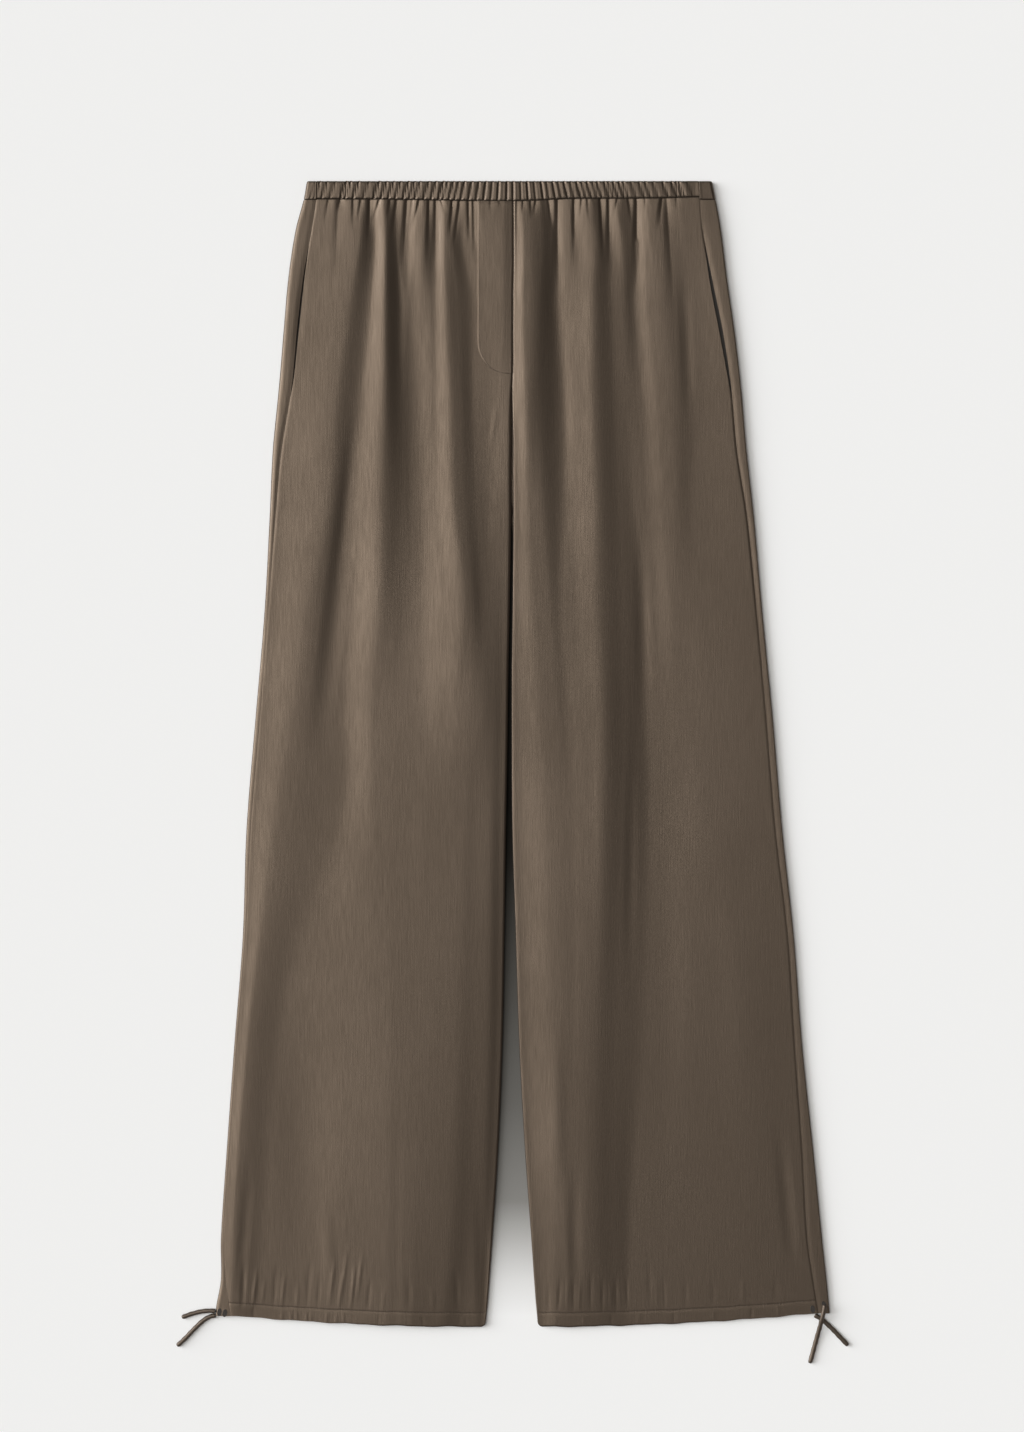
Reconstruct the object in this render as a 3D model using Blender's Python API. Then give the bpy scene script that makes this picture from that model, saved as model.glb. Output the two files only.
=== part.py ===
"""Wide-leg pull-on trousers with a gathered elastic waist, laid flat on their back.

Lengths in the tables are millimetres on the laid-out garment: "down" runs from the top edge
of the waistband towards the hems, and x runs from the centre front seam, with the wearer's
left leg at +x. The script turns them into metres, +Y towards the waist and +Z up, with the
origin under the middle of the garment on the surface that it lies on.
"""

import math
from bisect import bisect_right
from collections import namedtuple

import bmesh
import bpy
from mathutils import Vector

MM = 0.001

# Driving sizes
OUTSEAM = 1061.5        # top of the waistband to the lowest point of the hems
BAND_DEPTH = 17.3       # height of the elastic casing
CLOTH_WALL = 1.2        # the panels' thickness
BAND_WALL = 2.4         # the casing: cloth, elastic and cloth
SEAM_GAP = 0.34         # space that parts two pieces at a seam
SEAM_GROOVE = 0.7       # how far a side seam draws the cloth in
SEAM_GROOVE_WIDTH = 2.2
GROOVE_STARTS = 1.4       # this many radii in from the side, the groove starts
GROOVE_WHOLE = 2.6        # and here it has its whole depth
RISE = 300.0            # waist edge to the crotch point, on the back
FLY_SEAM_END = 186.0    # the centre front seam dips between the legs from here
FLY_SEAM_DIP = 236.0    # and has reached the side of the legs here
HEM_DEPTH = 13.0        # casing of the hem's drawstring
HEM_RAISE = 0.45        # how far the hem's folded layers stand out of the leg
HEM_STEP = 1.2          # over this much of the leg
HEM_SLANT_FROM = 500.0  # the rows start to slant here
HEM_LIFT = {"right": 10.4, "left": 12.8}    # the hems slant up by this towards the sides
MIDDLE_X = 9.9          # middle of the laid-out garment, from the centre front seam
MIDDLE_DOWN = OUTSEAM / 2
CENTRE_HEIGHT = 5.6     # of the upper face, along the centre front seam
INNER_REACH = 2.0       # and how far from the edge
SIDE_CALM = 14.0        # the gathers die out this close to the sides
LEAST_SPACING = 0.01    # between two fold lines that meet
STEP_U = 0.004          # steps over which a surface's normal is measured
STEP_DOWN = 1.5
SHARP_ANGLE = 50.0      # faces that meet at more than this have a sharp edge

SATIN_COLOUR = (0.135, 0.105, 0.082, 1)
SATIN_ROUGHNESS = 0.42

# Outline of the laid-out garment, from above. Edge is the fold at each side, seam the side
# seam on the upper face, and inner the inner edge of each leg.
Section = namedtuple("Section", "down right_edge right_seam right_inner left_inner left_seam left_edge")
SECTIONS = (
    Section(0, -190.3, -181.0, 0.0, 0.0, 173.0, 185.6),
    Section(17, -193.2, -181.4, 0.0, 0.0, 173.8, 188.9),
    Section(45, -200.6, -185.7, 0.0, 0.0, 176.6, 193.8),
    Section(90, -207.4, -193.5, 0.0, 0.0, 185.2, 199.4),
    Section(140, -211.8, -199.3, 0.0, 0.0, 195.4, 206.5),
    Section(190, -216.0, -204.0, -0.2, 0.2, 202.8, 212.3),
    Section(250, -221.8, -213.5, -1.8, -0.7, 208.4, 217.6),
    Section(310, -224.6, -219.0, -2.0, -0.5, 217.6, 224.2),
    Section(400, -229.5, -226.0, -2.6, -0.5, 226.7, 232.2),
    Section(500, -238.0, -234.0, -3.7, -0.7, 235.7, 242.0),
    Section(600, -246.1, -242.2, -5.4, 0.0, 244.0, 250.5),
    Section(700, -249.6, -247.0, -6.9, 3.2, 255.6, 261.3),
    Section(800, -257.4, -254.8, -8.8, 6.5, 262.0, 269.0),
    Section(900, -264.6, -262.0, -12.9, 12.0, 269.0, 279.5),
    Section(980, -269.9, -267.2, -18.0, 17.8, 273.6, 287.5),
    Section(1018, -269.9, -265.2, -20.8, 20.4, 279.0, 291.6),
    Section(1044, -274.4, -261.8, -22.7, 22.3, 283.2, 294.1),
    Section(1062, -275.6, -259.3, -24.2, 23.6, 286.0, 295.6),
)

# The rolled edges: their radius at the sides, and how high each leg is along its inner edge
Roll = namedtuple("Roll", "down radius right_height left_height")
ROLLS = (
    Roll(0, 2.7, 6.0, 6.0), Roll(17, 2.7, 6.0, 6.0), Roll(60, 2.8, 6.2, 6.2),
    Roll(200, 2.8, 6.2, 6.2), Roll(300, 2.7, 6.2, 6.1), Roll(388, 2.5, 6.4, 5.8),
    Roll(481, 2.5, 6.7, 5.6), Roll(573, 2.4, 6.1, 5.4), Roll(666, 2.4, 5.3, 5.2),
    Roll(758, 2.3, 4.7, 4.9), Roll(944, 2.2, 4.1, 4.6), Roll(1062, 2.1, 4.0, 4.3),
)

# The folds: lines of crest and of trough, listed from the inner edge outwards. Each has its
# distance from the centre line and the height of the upper face at places down the leg.
Stop = namedtuple("Stop", "down out height")
FOLD_LINES = {
    "right": (
        (Stop(17, 31, 5.2), Stop(55, 31, 5), Stop(110, 30, 4.8), Stop(203, 22, 5.3), Stop(295, 20, 6),
         Stop(388, 18, 7), Stop(481, 17, 7.6), Stop(573, 20, 6.9), Stop(758, 21, 5.9),
         Stop(944, 26, 4.9), Stop(1062, 32, 4.2)),
        (Stop(17, 40, 5), Stop(55, 45, 4.6), Stop(110, 36, 4.6), Stop(203, 35, 5.4),
         Stop(295, 32, 6.5), Stop(388, 28, 7.7), Stop(481, 28, 8.3), Stop(573, 34, 7.1),
         Stop(758, 36, 6.4), Stop(944, 38, 5.5), Stop(1062, 46, 4.4)),
        (Stop(17, 50, 5.4), Stop(55, 56, 5.8), Stop(110, 51, 5.9), Stop(203, 48, 6.7),
         Stop(295, 46, 7.8), Stop(388, 37, 8.8), Stop(481, 40, 8.5), Stop(573, 44, 7.3),
         Stop(758, 50, 6.9), Stop(944, 56, 6.7), Stop(1062, 66, 5.6)),
        (Stop(17, 61, 6.2), Stop(55, 62.5, 6), Stop(110, 61, 6.6), Stop(203, 57, 7.2),
         Stop(295, 54, 8.2), Stop(388, 45, 9.2), Stop(481, 50, 8.4), Stop(573, 54, 7.3),
         Stop(758, 60, 7), Stop(944, 66, 6.9), Stop(1062, 76, 5.8)),
        (Stop(17, 70, 4.8), Stop(55, 70.5, 4.2), Stop(110, 71.5, 4.9), Stop(203, 71, 5.2),
         Stop(295, 71, 6.2), Stop(388, 62, 7.9), Stop(481, 64, 7.8), Stop(573, 68, 7.2),
         Stop(758, 74, 7.1), Stop(944, 82, 7.1), Stop(1062, 88, 6.2)),
        (Stop(17, 79, 5.6), Stop(55, 83, 5.7), Stop(110, 84, 5.2), Stop(203, 84, 4.8),
         Stop(295, 84, 5.4), Stop(388, 86, 6.2), Stop(481, 84, 6.9), Stop(573, 84, 7.1),
         Stop(758, 86, 7.1), Stop(944, 92, 7.2), Stop(1062, 94, 6.4)),
        (Stop(17, 87, 6), Stop(55, 89, 5.4), Stop(110, 93, 4.8), Stop(203, 94, 4.9),
         Stop(295, 94, 5.6), Stop(388, 92, 6.2), Stop(481, 94, 6.8), Stop(573, 94, 7),
         Stop(758, 94, 7.1), Stop(944, 100, 7.2), Stop(1062, 102, 6.4)),
        (Stop(17, 97, 5), Stop(55, 97, 4.4), Stop(110, 99, 4.6), Stop(203, 99, 5.1),
         Stop(295, 98, 5.9), Stop(388, 100, 6.4), Stop(481, 104, 6.8), Stop(573, 102, 7),
         Stop(758, 102, 7.1), Stop(944, 106, 7.1), Stop(1062, 108, 6.3)),
        (Stop(17, 104, 5), Stop(55, 106, 4.7), Stop(110, 102, 4.5), Stop(203, 102, 5.3),
         Stop(295, 101, 6.1), Stop(388, 108, 6.8), Stop(481, 112, 6.85), Stop(573, 110, 7),
         Stop(758, 110, 7.1), Stop(944, 112, 7.1), Stop(1062, 114, 6.3)),
        (Stop(17, 119, 6.6), Stop(55, 117.5, 6.8), Stop(110, 118, 7.7), Stop(203, 118.5, 8.2),
         Stop(295, 121, 7.9), Stop(388, 122, 7.4), Stop(481, 128, 6.9), Stop(573, 127, 6.9),
         Stop(758, 122, 6.9), Stop(944, 122, 6.9), Stop(1062, 122, 6.1)),
        (Stop(17, 129, 5.1), Stop(55, 127, 4.8), Stop(110, 131, 5.6), Stop(203, 140, 5.6),
         Stop(295, 147, 5.2), Stop(388, 151, 4.8), Stop(481, 157, 4.8), Stop(573, 157, 5),
         Stop(758, 208, 4.7), Stop(944, 226, 4.1), Stop(1062, 236, 3.9)),
        (Stop(17, 140, 6), Stop(55, 142, 6.6), Stop(110, 151, 7.1), Stop(203, 164, 7.2),
         Stop(295, 171, 6.9), Stop(388, 188, 6.7), Stop(481, 200, 6.3), Stop(573, 214, 6.1),
         Stop(758, 240, 5.8), Stop(944, 256, 5.2), Stop(1062, 259, 4.6)),
    ),
    "left": (
        (Stop(17, 10, 5.8), Stop(55, 11, 7), Stop(110, 10.5, 7.7), Stop(203, 13, 7.8),
         Stop(295, 16, 7), Stop(388, 20, 6.8), Stop(481, 28, 6.8), Stop(573, 34, 6.8),
         Stop(758, 38, 6.6), Stop(944, 42, 6.3), Stop(1062, 42, 5.2)),
        (Stop(17, 25, 5.4), Stop(55, 27, 6.2), Stop(110, 25, 7), Stop(203, 24, 7.1),
         Stop(295, 26, 6.9), Stop(388, 34, 6.7), Stop(481, 40, 6.8), Stop(573, 46, 6.9),
         Stop(758, 50, 6.8), Stop(944, 50, 6.4), Stop(1062, 50, 5.1)),
        (Stop(17, 32, 4.8), Stop(55, 40.5, 4.4), Stop(110, 42, 4.2), Stop(203, 48, 4.3),
         Stop(295, 49, 5.2), Stop(388, 46, 6.2), Stop(481, 50, 6.6), Stop(573, 54, 6.9),
         Stop(758, 56, 6.8), Stop(944, 56, 6.4), Stop(1062, 58, 5)),
        (Stop(17, 42, 5.6), Stop(55, 48, 5.2), Stop(110, 52, 5), Stop(203, 56, 5.2),
         Stop(295, 58, 5.6), Stop(388, 58, 6.2), Stop(481, 62, 6.9), Stop(573, 64, 7.1),
         Stop(758, 64, 6.9), Stop(944, 62, 6.4), Stop(1062, 66, 4.9)),
        (Stop(17, 53, 5), Stop(55, 59, 5.1), Stop(110, 63, 5.9), Stop(203, 66, 6.1),
         Stop(295, 68, 6.3), Stop(388, 68, 6.5), Stop(481, 72, 7.2), Stop(573, 74, 7.3),
         Stop(758, 70, 6.9), Stop(944, 68, 6.4), Stop(1062, 74, 4.7)),
        (Stop(17, 70, 5.9), Stop(55, 76, 6.3), Stop(110, 75, 6.9), Stop(203, 75, 6.8),
         Stop(295, 78, 6.8), Stop(388, 78, 6.8), Stop(481, 83, 7.5), Stop(573, 82, 7.5),
         Stop(758, 78, 6.8), Stop(944, 76, 6.2), Stop(1062, 84, 4.4)),
        (Stop(17, 84, 4.9), Stop(55, 93, 4.7), Stop(110, 92.6, 5.3), Stop(203, 97, 5),
         Stop(295, 100, 5.1), Stop(388, 103, 5.1), Stop(481, 104, 5.7), Stop(573, 104, 6),
         Stop(758, 98, 5.7), Stop(944, 94, 5), Stop(1062, 96, 3.9)),
        (Stop(17, 94, 5.4), Stop(55, 101, 5.2), Stop(110, 103.5, 5.1), Stop(203, 109, 4.6),
         Stop(295, 114, 4.4), Stop(388, 124, 3.8), Stop(481, 126, 4), Stop(573, 129, 4.1),
         Stop(758, 126, 4.5), Stop(944, 112, 4), Stop(1062, 110, 3.6)),
        (Stop(17, 110, 4.6), Stop(55, 115, 4.3), Stop(110, 114, 4.3), Stop(203, 120, 4.4),
         Stop(295, 124, 4.4), Stop(388, 131, 3.8), Stop(481, 136, 4.1), Stop(573, 140, 4.1),
         Stop(758, 142, 4.4), Stop(944, 136, 4), Stop(1062, 136, 3.6)),
        (Stop(17, 121, 5.5), Stop(55, 123, 5.4), Stop(110, 126, 5.2), Stop(203, 136, 5.5),
         Stop(295, 142, 5.2), Stop(388, 148, 4.4), Stop(481, 152, 4.4), Stop(573, 158, 4.3),
         Stop(758, 166, 4.7), Stop(944, 160, 4.1), Stop(1062, 162, 3.7)),
        (Stop(17, 134, 5.7), Stop(55, 138, 5.7), Stop(110, 140, 5.6), Stop(203, 149, 5.8),
         Stop(295, 152, 5.4), Stop(388, 156, 4.5), Stop(481, 168, 4.6), Stop(573, 176, 4.6),
         Stop(758, 190, 4.8), Stop(944, 190, 4.3), Stop(1062, 196, 3.8)),
        (Stop(17, 152, 5.3), Stop(55, 160, 5.2), Stop(110, 168, 4.9), Stop(203, 172, 5.1),
         Stop(295, 168, 5), Stop(388, 172, 4.7), Stop(481, 184, 4.8), Stop(573, 196, 4.7),
         Stop(758, 212, 5), Stop(944, 224, 4.5), Stop(1062, 230, 4)),
    ),
}

# The small gathers that run out of the waist seam: a trough, how far down it reaches, and
# its depth at the seam.
Gather = namedtuple("Gather", "x reach depth")
RIGHT_GATHERS = (
    Gather(-158, 44, 0.8), Gather(-147, 26, 0.8), Gather(-132, 36, 1.4), Gather(-123, 22, 1.0),
    Gather(-107, 40, 1.1), Gather(-98.5, 26, 1.3), Gather(-86, 30, 1.1), Gather(-71.5, 42, 1.4),
    Gather(-55.5, 28, 1.2), Gather(-48.5, 36, 1.2), Gather(-38.5, 40, 1.2),
)
LEFT_GATHERS = (
    Gather(5, 24, 0.9), Gather(19, 18, 0.9), Gather(31.5, 56, 1.6), Gather(43, 26, 0.9),
    Gather(52, 20, 1.1), Gather(62, 40, 0.9), Gather(81.5, 34, 1.3), Gather(88, 36, 0.9),
    Gather(96.5, 24, 1.0), Gather(108, 52, 1.7), Gather(121, 16, 0.6), Gather(135, 26, 1.1),
)
GATHER_HALF_WIDTH = 4.2

# Rows of points down a leg, shared by front and back so that their seams stay parallel. The
# front's columns are doubled down to the end of the thighs, and again down to the end of the
# gathers.
GATHERED_ROWS = (17.64, 22, 30, 42, 60, 84)
THIGH_ROWS = (112, 142, 172, 196, 214, 232, 262, 300, 330, 380, 440, 510, 590)
LEG_ROWS = (670, 750, 830, 905, 965, 1012, 1047.4, 1048.6, 1061.4)
ROWS = GATHERED_ROWS + THIGH_ROWS + LEG_ROWS
FRONT_COLUMNS = 20
FRONT_ROLL_COLUMNS = 2
BACK_COLUMNS = 16

# Shares of a back's width where its surface leaves the inner roll, reaches the fold at the
# side, and has turned up on to the upper face
BACK_ROLL_SHARE = 0.125
BACK_FOLD_SHARE = 0.5
BACK_LAP_SHARE = 0.75
CROTCH_REACH = 30.0     # the backs' inner edges part over this much of the leg below the rise

# The pocket mouths in the side seams
MOUTH_TOP = 60.0
MOUTH_BOTTOM = 200.0
MOUTH_OPENING = 2.0
BAG_REACH = 112.0       # how far a pocket bag reaches in from the side seam
BAG_BOTTOM = 285.0
BAG_THICKNESS = 1.2
BAG_FROM_EDGE = 8.5     # its outer side runs this far in from the fold at the side
BAG_ABOVE = 6.0         # it starts this far above the mouth
BAG_CORNER = (38.0, 46.0)   # half-axes of its two rounded lower corners
BAG_CORNER_STEPS = 5
BAG_SIDE_ROWS = (MOUTH_TOP - BAG_ABOVE, 90.0, 120.0, 150.0, 180.0, 204.0)

# The mock fly, which lies on the right front
FLY_WIDTH = 32.0
FLY_BEND = 138.0        # its edge starts to curve in here
FLY_END = 178.0
FLY_TIP = 5.0
FLY_WALL = 1.0
FLY_ROWS = 12
FLY_COLUMNS = 6
FLY_CROWDING = 1.4      # its rows lie closer together where it curves
AMID_CLOTH = 99.0       # from a leg's side, for a point that is nowhere near it

# The waistband's gathers
BAND_GATHERS = 54
COLUMNS_PER_GATHER = 4
GATHER_RELIEF = 1.3
LEAST_RELIEF = 0.4      # the shallowest gather's share of it
RELIEF_RHYTHM = 2.4     # turn, in radians, from one gather's size to the next
BAND_ROWS = 2
BAND_EDGE_DROP = 0.5    # the casing's two long edges are this much lower than its middle
GATHER_SLANT = 0.34     # the gathers fan out downwards at the sides
SLANT_SPREAD = 60.0
SLANT_ENDS = 8          # the slant dies out over one in this many parts of the width
BAND_SIDE_RADIUS = 3.1
BAND_BACK_COLUMNS = 28
BAND_BACK_FOLD = 0.4    # share of the way from its middle to the side seam where it turns
BAND_BACK_LAP = 0.8     # and where it has turned up on to the upper face

# The drawstrings' free ends: each a route of points (x, down, height of its middle)
TIE_DIAMETER = 3.6
FLOOR_RUN = TIE_DIAMETER / 2 + 0.1
TIES = {
    "tie_right_upper": (
        (-275.1, 1047.0, 3.2), (-281.0, 1046.7, 3.0), (-289.0, 1047.6, 2.4),
        (-298.0, 1050.0, FLOOR_RUN), (-306.0, 1053.0, FLOOR_RUN)),
    "tie_right_lower": (
        (-275.1, 1051.3, FLOOR_RUN), (-280.0, 1052.2, FLOOR_RUN), (-286.2, 1055.8, FLOOR_RUN),
        (-294.4, 1063.4, FLOOR_RUN), (-303.0, 1072.4, FLOOR_RUN), (-310.4, 1079.4, FLOOR_RUN)),
    "tie_left_upper": (
        (289.6, 1041.0, 6.6), (288.4, 1047.5, 6.6), (287.0, 1053.8, 6.1),
        (285.0, 1062.5, 4.2), (282.6, 1071.5, 2.6), (279.8, 1082.0, FLOOR_RUN), (276.2, 1095.4, FLOOR_RUN)),
    "tie_left_lower": (
        (280.8, 1050.9, FLOOR_RUN), (287.9, 1055.4, FLOOR_RUN), (296.4, 1063.2, FLOOR_RUN),
        (304.2, 1071.4, FLOOR_RUN), (311.4, 1079.0, FLOOR_RUN)),
}
TIE_STEP = 2.2          # spacing of a tie's points, in diameters
TIE_FINE_STEPS = 20     # steps between two points of a route, before they are spaced


def smoothstep(low, high, value):
    """0 below low, 1 above high, and a smooth rise between."""
    share = min(1.0, max(0.0, (value - low) / (high - low)))
    return share * share * (3 - 2 * share)


def hermite(start, end, slope_start, slope_end, t):
    """A smooth curve from start, at t = 0, to end, at t = 1, with its slope at both."""
    return (
        start * (1 + 2 * t) * (1 - t) ** 2
        + end * t * t * (3 - 2 * t)
        + slope_start * t * (1 - t) ** 2
        - slope_end * t * t * (1 - t)
    )


def along(table, column, down):
    """A table's column at one place down the garment, on a smooth curve through its rows."""
    knots = [row.down for row in table]
    values = [getattr(row, column) for row in table]
    last = len(table) - 1
    i = min(last - 1, max(0, bisect_right(knots, down) - 1))

    def slope(k):
        before, after = max(0, k - 1), min(last, k + 1)
        return (values[after] - values[before]) / (knots[after] - knots[before])

    span = knots[i + 1] - knots[i]
    t = (down - knots[i]) / span
    return hermite(values[i], values[i + 1], slope(i) * span, slope(i + 1) * span, t)


def fold_height(lines, out, down, first, last):
    """Height of the upper face between the fold lines. first and last are the distance and
    the height of the two edges. The slope is level on a crest and in a trough."""
    knots = [first] + [(along(line, "out", down), along(line, "height", down)) for line in lines] + [last]
    outs, heights = [knots[0][0]], [height for _, height in knots]
    for place, _ in knots[1:]:
        outs.append(max(place, outs[-1] + LEAST_SPACING))
    i = min(len(outs) - 2, max(0, bisect_right(outs, out) - 1))

    def steepness(k):
        return (heights[k + 1] - heights[k]) / (outs[k + 1] - outs[k])

    def slope(k):
        if k == 0 or k == len(outs) - 1 or steepness(k - 1) * steepness(k) <= 0:
            return 0.0
        before, after = steepness(k - 1), steepness(k)
        return 2 * before * after / (before + after)

    span = outs[i + 1] - outs[i]
    t = min(1.0, max(0.0, (out - outs[i]) / span))
    return hermite(heights[i], heights[i + 1], slope(i) * span, slope(i + 1) * span, t)


def gather_depth(gathers, x, down):
    """How far the small gathers below the waistband sink the cloth at a point."""
    below = down - BAND_DEPTH
    total = 0.0
    for gather in gathers:
        q = (x - gather.x) / GATHER_HALF_WIDTH
        if abs(q) < 1:
            total += gather.depth * (1 - q * q) ** 2 * (1 - smoothstep(0, gather.reach, below))
    return total


class Leg:
    """One leg of the trousers: side is -1 for the wearer's right leg and +1 for the left."""

    def __init__(self, side):
        self.side = side
        self.word = "right" if side < 0 else "left"
        self.gathers = RIGHT_GATHERS if side < 0 else LEFT_GATHERS

    def edge(self, down):
        return along(SECTIONS, self.word + "_edge", down)

    def seam(self, down):
        return along(SECTIONS, self.word + "_seam", down)

    def inner(self, down):
        return along(SECTIONS, self.word + "_inner", down)

    def radius(self, down):
        return along(ROLLS, "radius", down)

    def inner_height(self, down):
        return along(ROLLS, self.word + "_height", down)

    def lap(self, down):
        """How far the back wraps round the side onto the upper face."""
        return abs(self.edge(down) - self.seam(down))

    def mouth(self, down):
        """How far the pocket mouth stands open."""
        share = (down - MOUTH_TOP) / (MOUTH_BOTTOM - MOUTH_TOP)
        return MOUTH_OPENING * math.sin(math.pi * share) if 0 < share < 1 else 0.0

    def slant(self, across, down):
        """The hem slants, so a row of points lies higher at the side than at the inner edge."""
        return down - HEM_LIFT[self.word] * across ** 2 * smoothstep(HEM_SLANT_FROM, OUTSEAM, down)

    def top(self, x, down, from_inner, from_side):
        """Height of the upper face at a point, from_inner and from_side being its distances
        from the leg's inner edge and from the fold at its side."""
        radius = self.radius(down)
        opening = smoothstep(FLY_SEAM_END, FLY_SEAM_DIP, down)
        inner_height = CENTRE_HEIGHT + (self.inner_height(down) - CENTRE_HEIGHT) * opening
        first = (self.side * self.inner(down) + INNER_REACH * opening, inner_height)
        last = (self.side * self.edge(down) - radius, 2 * radius)
        height = fold_height(FOLD_LINES[self.word], self.side * x, down, first, last)
        height -= gather_depth(self.gathers, x, down) * smoothstep(radius, SIDE_CALM, from_side)
        height += HEM_RAISE * smoothstep(OUTSEAM - HEM_DEPTH - HEM_STEP, OUTSEAM - HEM_DEPTH, down)
        if from_side < radius:
            height = radius + math.sqrt(radius ** 2 - (radius - from_side) ** 2)
        if from_inner < radius and opening:
            rolled = inner_height / 2 * (1 + math.sqrt(1 - (1 - from_inner / radius) ** 2))
            height += (min(height, rolled) - height) * opening
        groove = SEAM_GROOVE * math.exp(-((from_side - self.lap(down)) / SEAM_GROOVE_WIDTH) ** 2)
        return height - groove * smoothstep(GROOVE_STARTS * radius, GROOVE_WHOLE * radius, from_side)

    def front_point(self, u, down):
        """A point of the front's outer face: u runs from the inner edge to the side seam."""
        down = self.slant(u, down)
        radius = self.radius(down)
        inner = self.inner(down) + self.side * SEAM_GAP / 2
        width = abs(self.seam(down) - inner) - SEAM_GAP / 2 - self.mouth(down)
        roll_share = FRONT_ROLL_COLUMNS / FRONT_COLUMNS
        lift = 0.0
        if u < roll_share:
            turn = math.pi / 2 * u / roll_share
            across = radius * (1 - math.cos(turn))
            lift = SEAM_GAP / 2 * (1 - math.sin(turn)) * smoothstep(FLY_SEAM_END, FLY_SEAM_DIP, down)
        else:
            across = radius + (width - radius) * (u - roll_share) / (1 - roll_share)
        x = inner + self.side * across
        from_side = abs(self.edge(down) - x)
        return Vector((x, down, self.top(x, down, across, from_side) + lift))

    def back_point(self, w, down):
        """A point of the back's outer face: w runs from the inner edge along the surface,
        round the fold at the side, and up to the side seam."""
        down = self.slant(min(1.0, w / BACK_FOLD_SHARE), down)
        radius = self.radius(down)
        closed = 1 - smoothstep(RISE, RISE + CROTCH_REACH, down)
        middle = (along(SECTIONS, "right_inner", down) + along(SECTIONS, "left_inner", down)) / 2
        inner = self.inner(down) * (1 - closed) + middle * closed + self.side * SEAM_GAP / 2
        edge = self.edge(down)
        width = abs(edge - inner)
        if w < BACK_ROLL_SHARE:
            turn = math.pi / 2 * (1 - max(0.0, w) / BACK_ROLL_SHARE)
            across = radius * (1 - math.sin(turn))
            rise = self.inner_height(down) / 2
            height = (rise * (1 - math.cos(turn)) - SEAM_GAP / 2 * math.sin(turn)) * (1 - closed)
            return Vector((inner + self.side * across, down, height))
        if w < BACK_FOLD_SHARE:
            share = (w - BACK_ROLL_SHARE) / (BACK_FOLD_SHARE - BACK_ROLL_SHARE)
            return Vector((inner + self.side * (radius + (width - 2 * radius) * share), down, 0.0))
        if w < BACK_LAP_SHARE:
            turn = math.pi / 2 * (w - BACK_FOLD_SHARE) / (BACK_LAP_SHARE - BACK_FOLD_SHARE)
            across = width - radius + radius * math.sin(turn)
            return Vector((inner + self.side * across, down, radius * (1 - math.cos(turn))))
        turn = math.pi / 2 * (w - BACK_LAP_SHARE) / (1 - BACK_LAP_SHARE)
        from_side = (self.lap(down) - SEAM_GAP / 2) * (1 - math.cos(turn))
        x = edge - self.side * from_side
        return Vector((x, down, self.top(x, down, width - from_side, from_side)))


def world(point):
    """A point of the tables, (x, down, height) in millimetres, in metres in the part's frame."""
    return Vector((point[0] - MIDDLE_X, MIDDLE_DOWN - point[1], point[2])) * MM


def normal_of(surface, u, down):
    """Unit normal of a surface, up when u runs towards +x over its upper face."""
    across = world(surface(u + STEP_U, down)) - world(surface(max(0.0, u - STEP_U), down))
    up_garment = world(surface(u, down - STEP_DOWN)) - world(surface(u, down + STEP_DOWN))
    return across.cross(up_garment).normalized()


def satin():
    """Brown satin, as a plain shader: the colour, and a soft sheen."""
    material = bpy.data.materials.new("satin")
    material.use_nodes = True
    shader = material.node_tree.nodes["Principled BSDF"]
    shader.inputs["Base Color"].default_value = SATIN_COLOUR
    shader.inputs["Roughness"].default_value = SATIN_ROUGHNESS
    shader.inputs["Metallic"].default_value = 0.0
    return material


def add_object(name, mesh, collection, material):
    obj = bpy.data.objects.new(name, mesh)
    collection.objects.link(obj)
    mesh.materials.append(material)
    return obj


def wall_mesh(name, columns, rows, place, doublings=()):
    """A closed wall of cloth. A flat grid is thickened by one extrusion, and place(u, row,
    layer) then gives each of its points, layer 0 being the outer face and 1 the inner one.
    Each entry of doublings is a row down to which the columns are doubled once more."""
    bm = bmesh.new()
    bmesh.ops.create_grid(bm, x_segments=columns, y_segments=rows, size=0.5)
    for last_row in doublings:
        limit = 0.5 - (last_row + 0.5) / rows
        across = [
            e for e in bm.edges
            if abs(e.verts[0].co.y - e.verts[1].co.y) < 1e-6 and e.verts[0].co.y > limit
        ]
        bmesh.ops.subdivide_edges(bm, edges=across, cuts=1)
    made = bmesh.ops.extrude_face_region(bm, geom=bm.faces[:])
    inner = {v for v in made["geom"] if isinstance(v, bmesh.types.BMVert)}
    for v in bm.verts:
        v.co = place(v.co.x + 0.5, (0.5 - v.co.y) * rows, int(v in inner))
    bmesh.ops.recalc_face_normals(bm, faces=bm.faces[:])
    mesh = bpy.data.meshes.new(name)
    bm.to_mesh(mesh)
    bm.free()
    mesh.shade_smooth()
    mesh.set_sharp_from_angle(angle=math.radians(SHARP_ANGLE))
    return mesh


def between(rows, row):
    """The place down the garment of a row, whole or not."""
    i = min(len(rows) - 2, int(row))
    return rows[i] + (rows[i + 1] - rows[i]) * (row - i)


def front(leg, collection, material):
    doubled_to = (len(GATHERED_ROWS + THIGH_ROWS) - 1, len(GATHERED_ROWS) - 1)

    def place(u, row, layer):
        down = between(ROWS, row)
        rolled = smoothstep(FLY_SEAM_END, FLY_SEAM_DIP, down) ** 2
        normal = Vector((0, 0, 1)).lerp(normal_of(leg.front_point, u, down) * leg.side, rolled)
        return world(leg.front_point(u, down)) - normal.normalized() * layer * CLOTH_WALL * MM

    name = "front_" + leg.word
    mesh = wall_mesh(name, FRONT_COLUMNS, len(ROWS) - 1, place, doubled_to)
    return add_object(name, mesh, collection, material)


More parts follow.
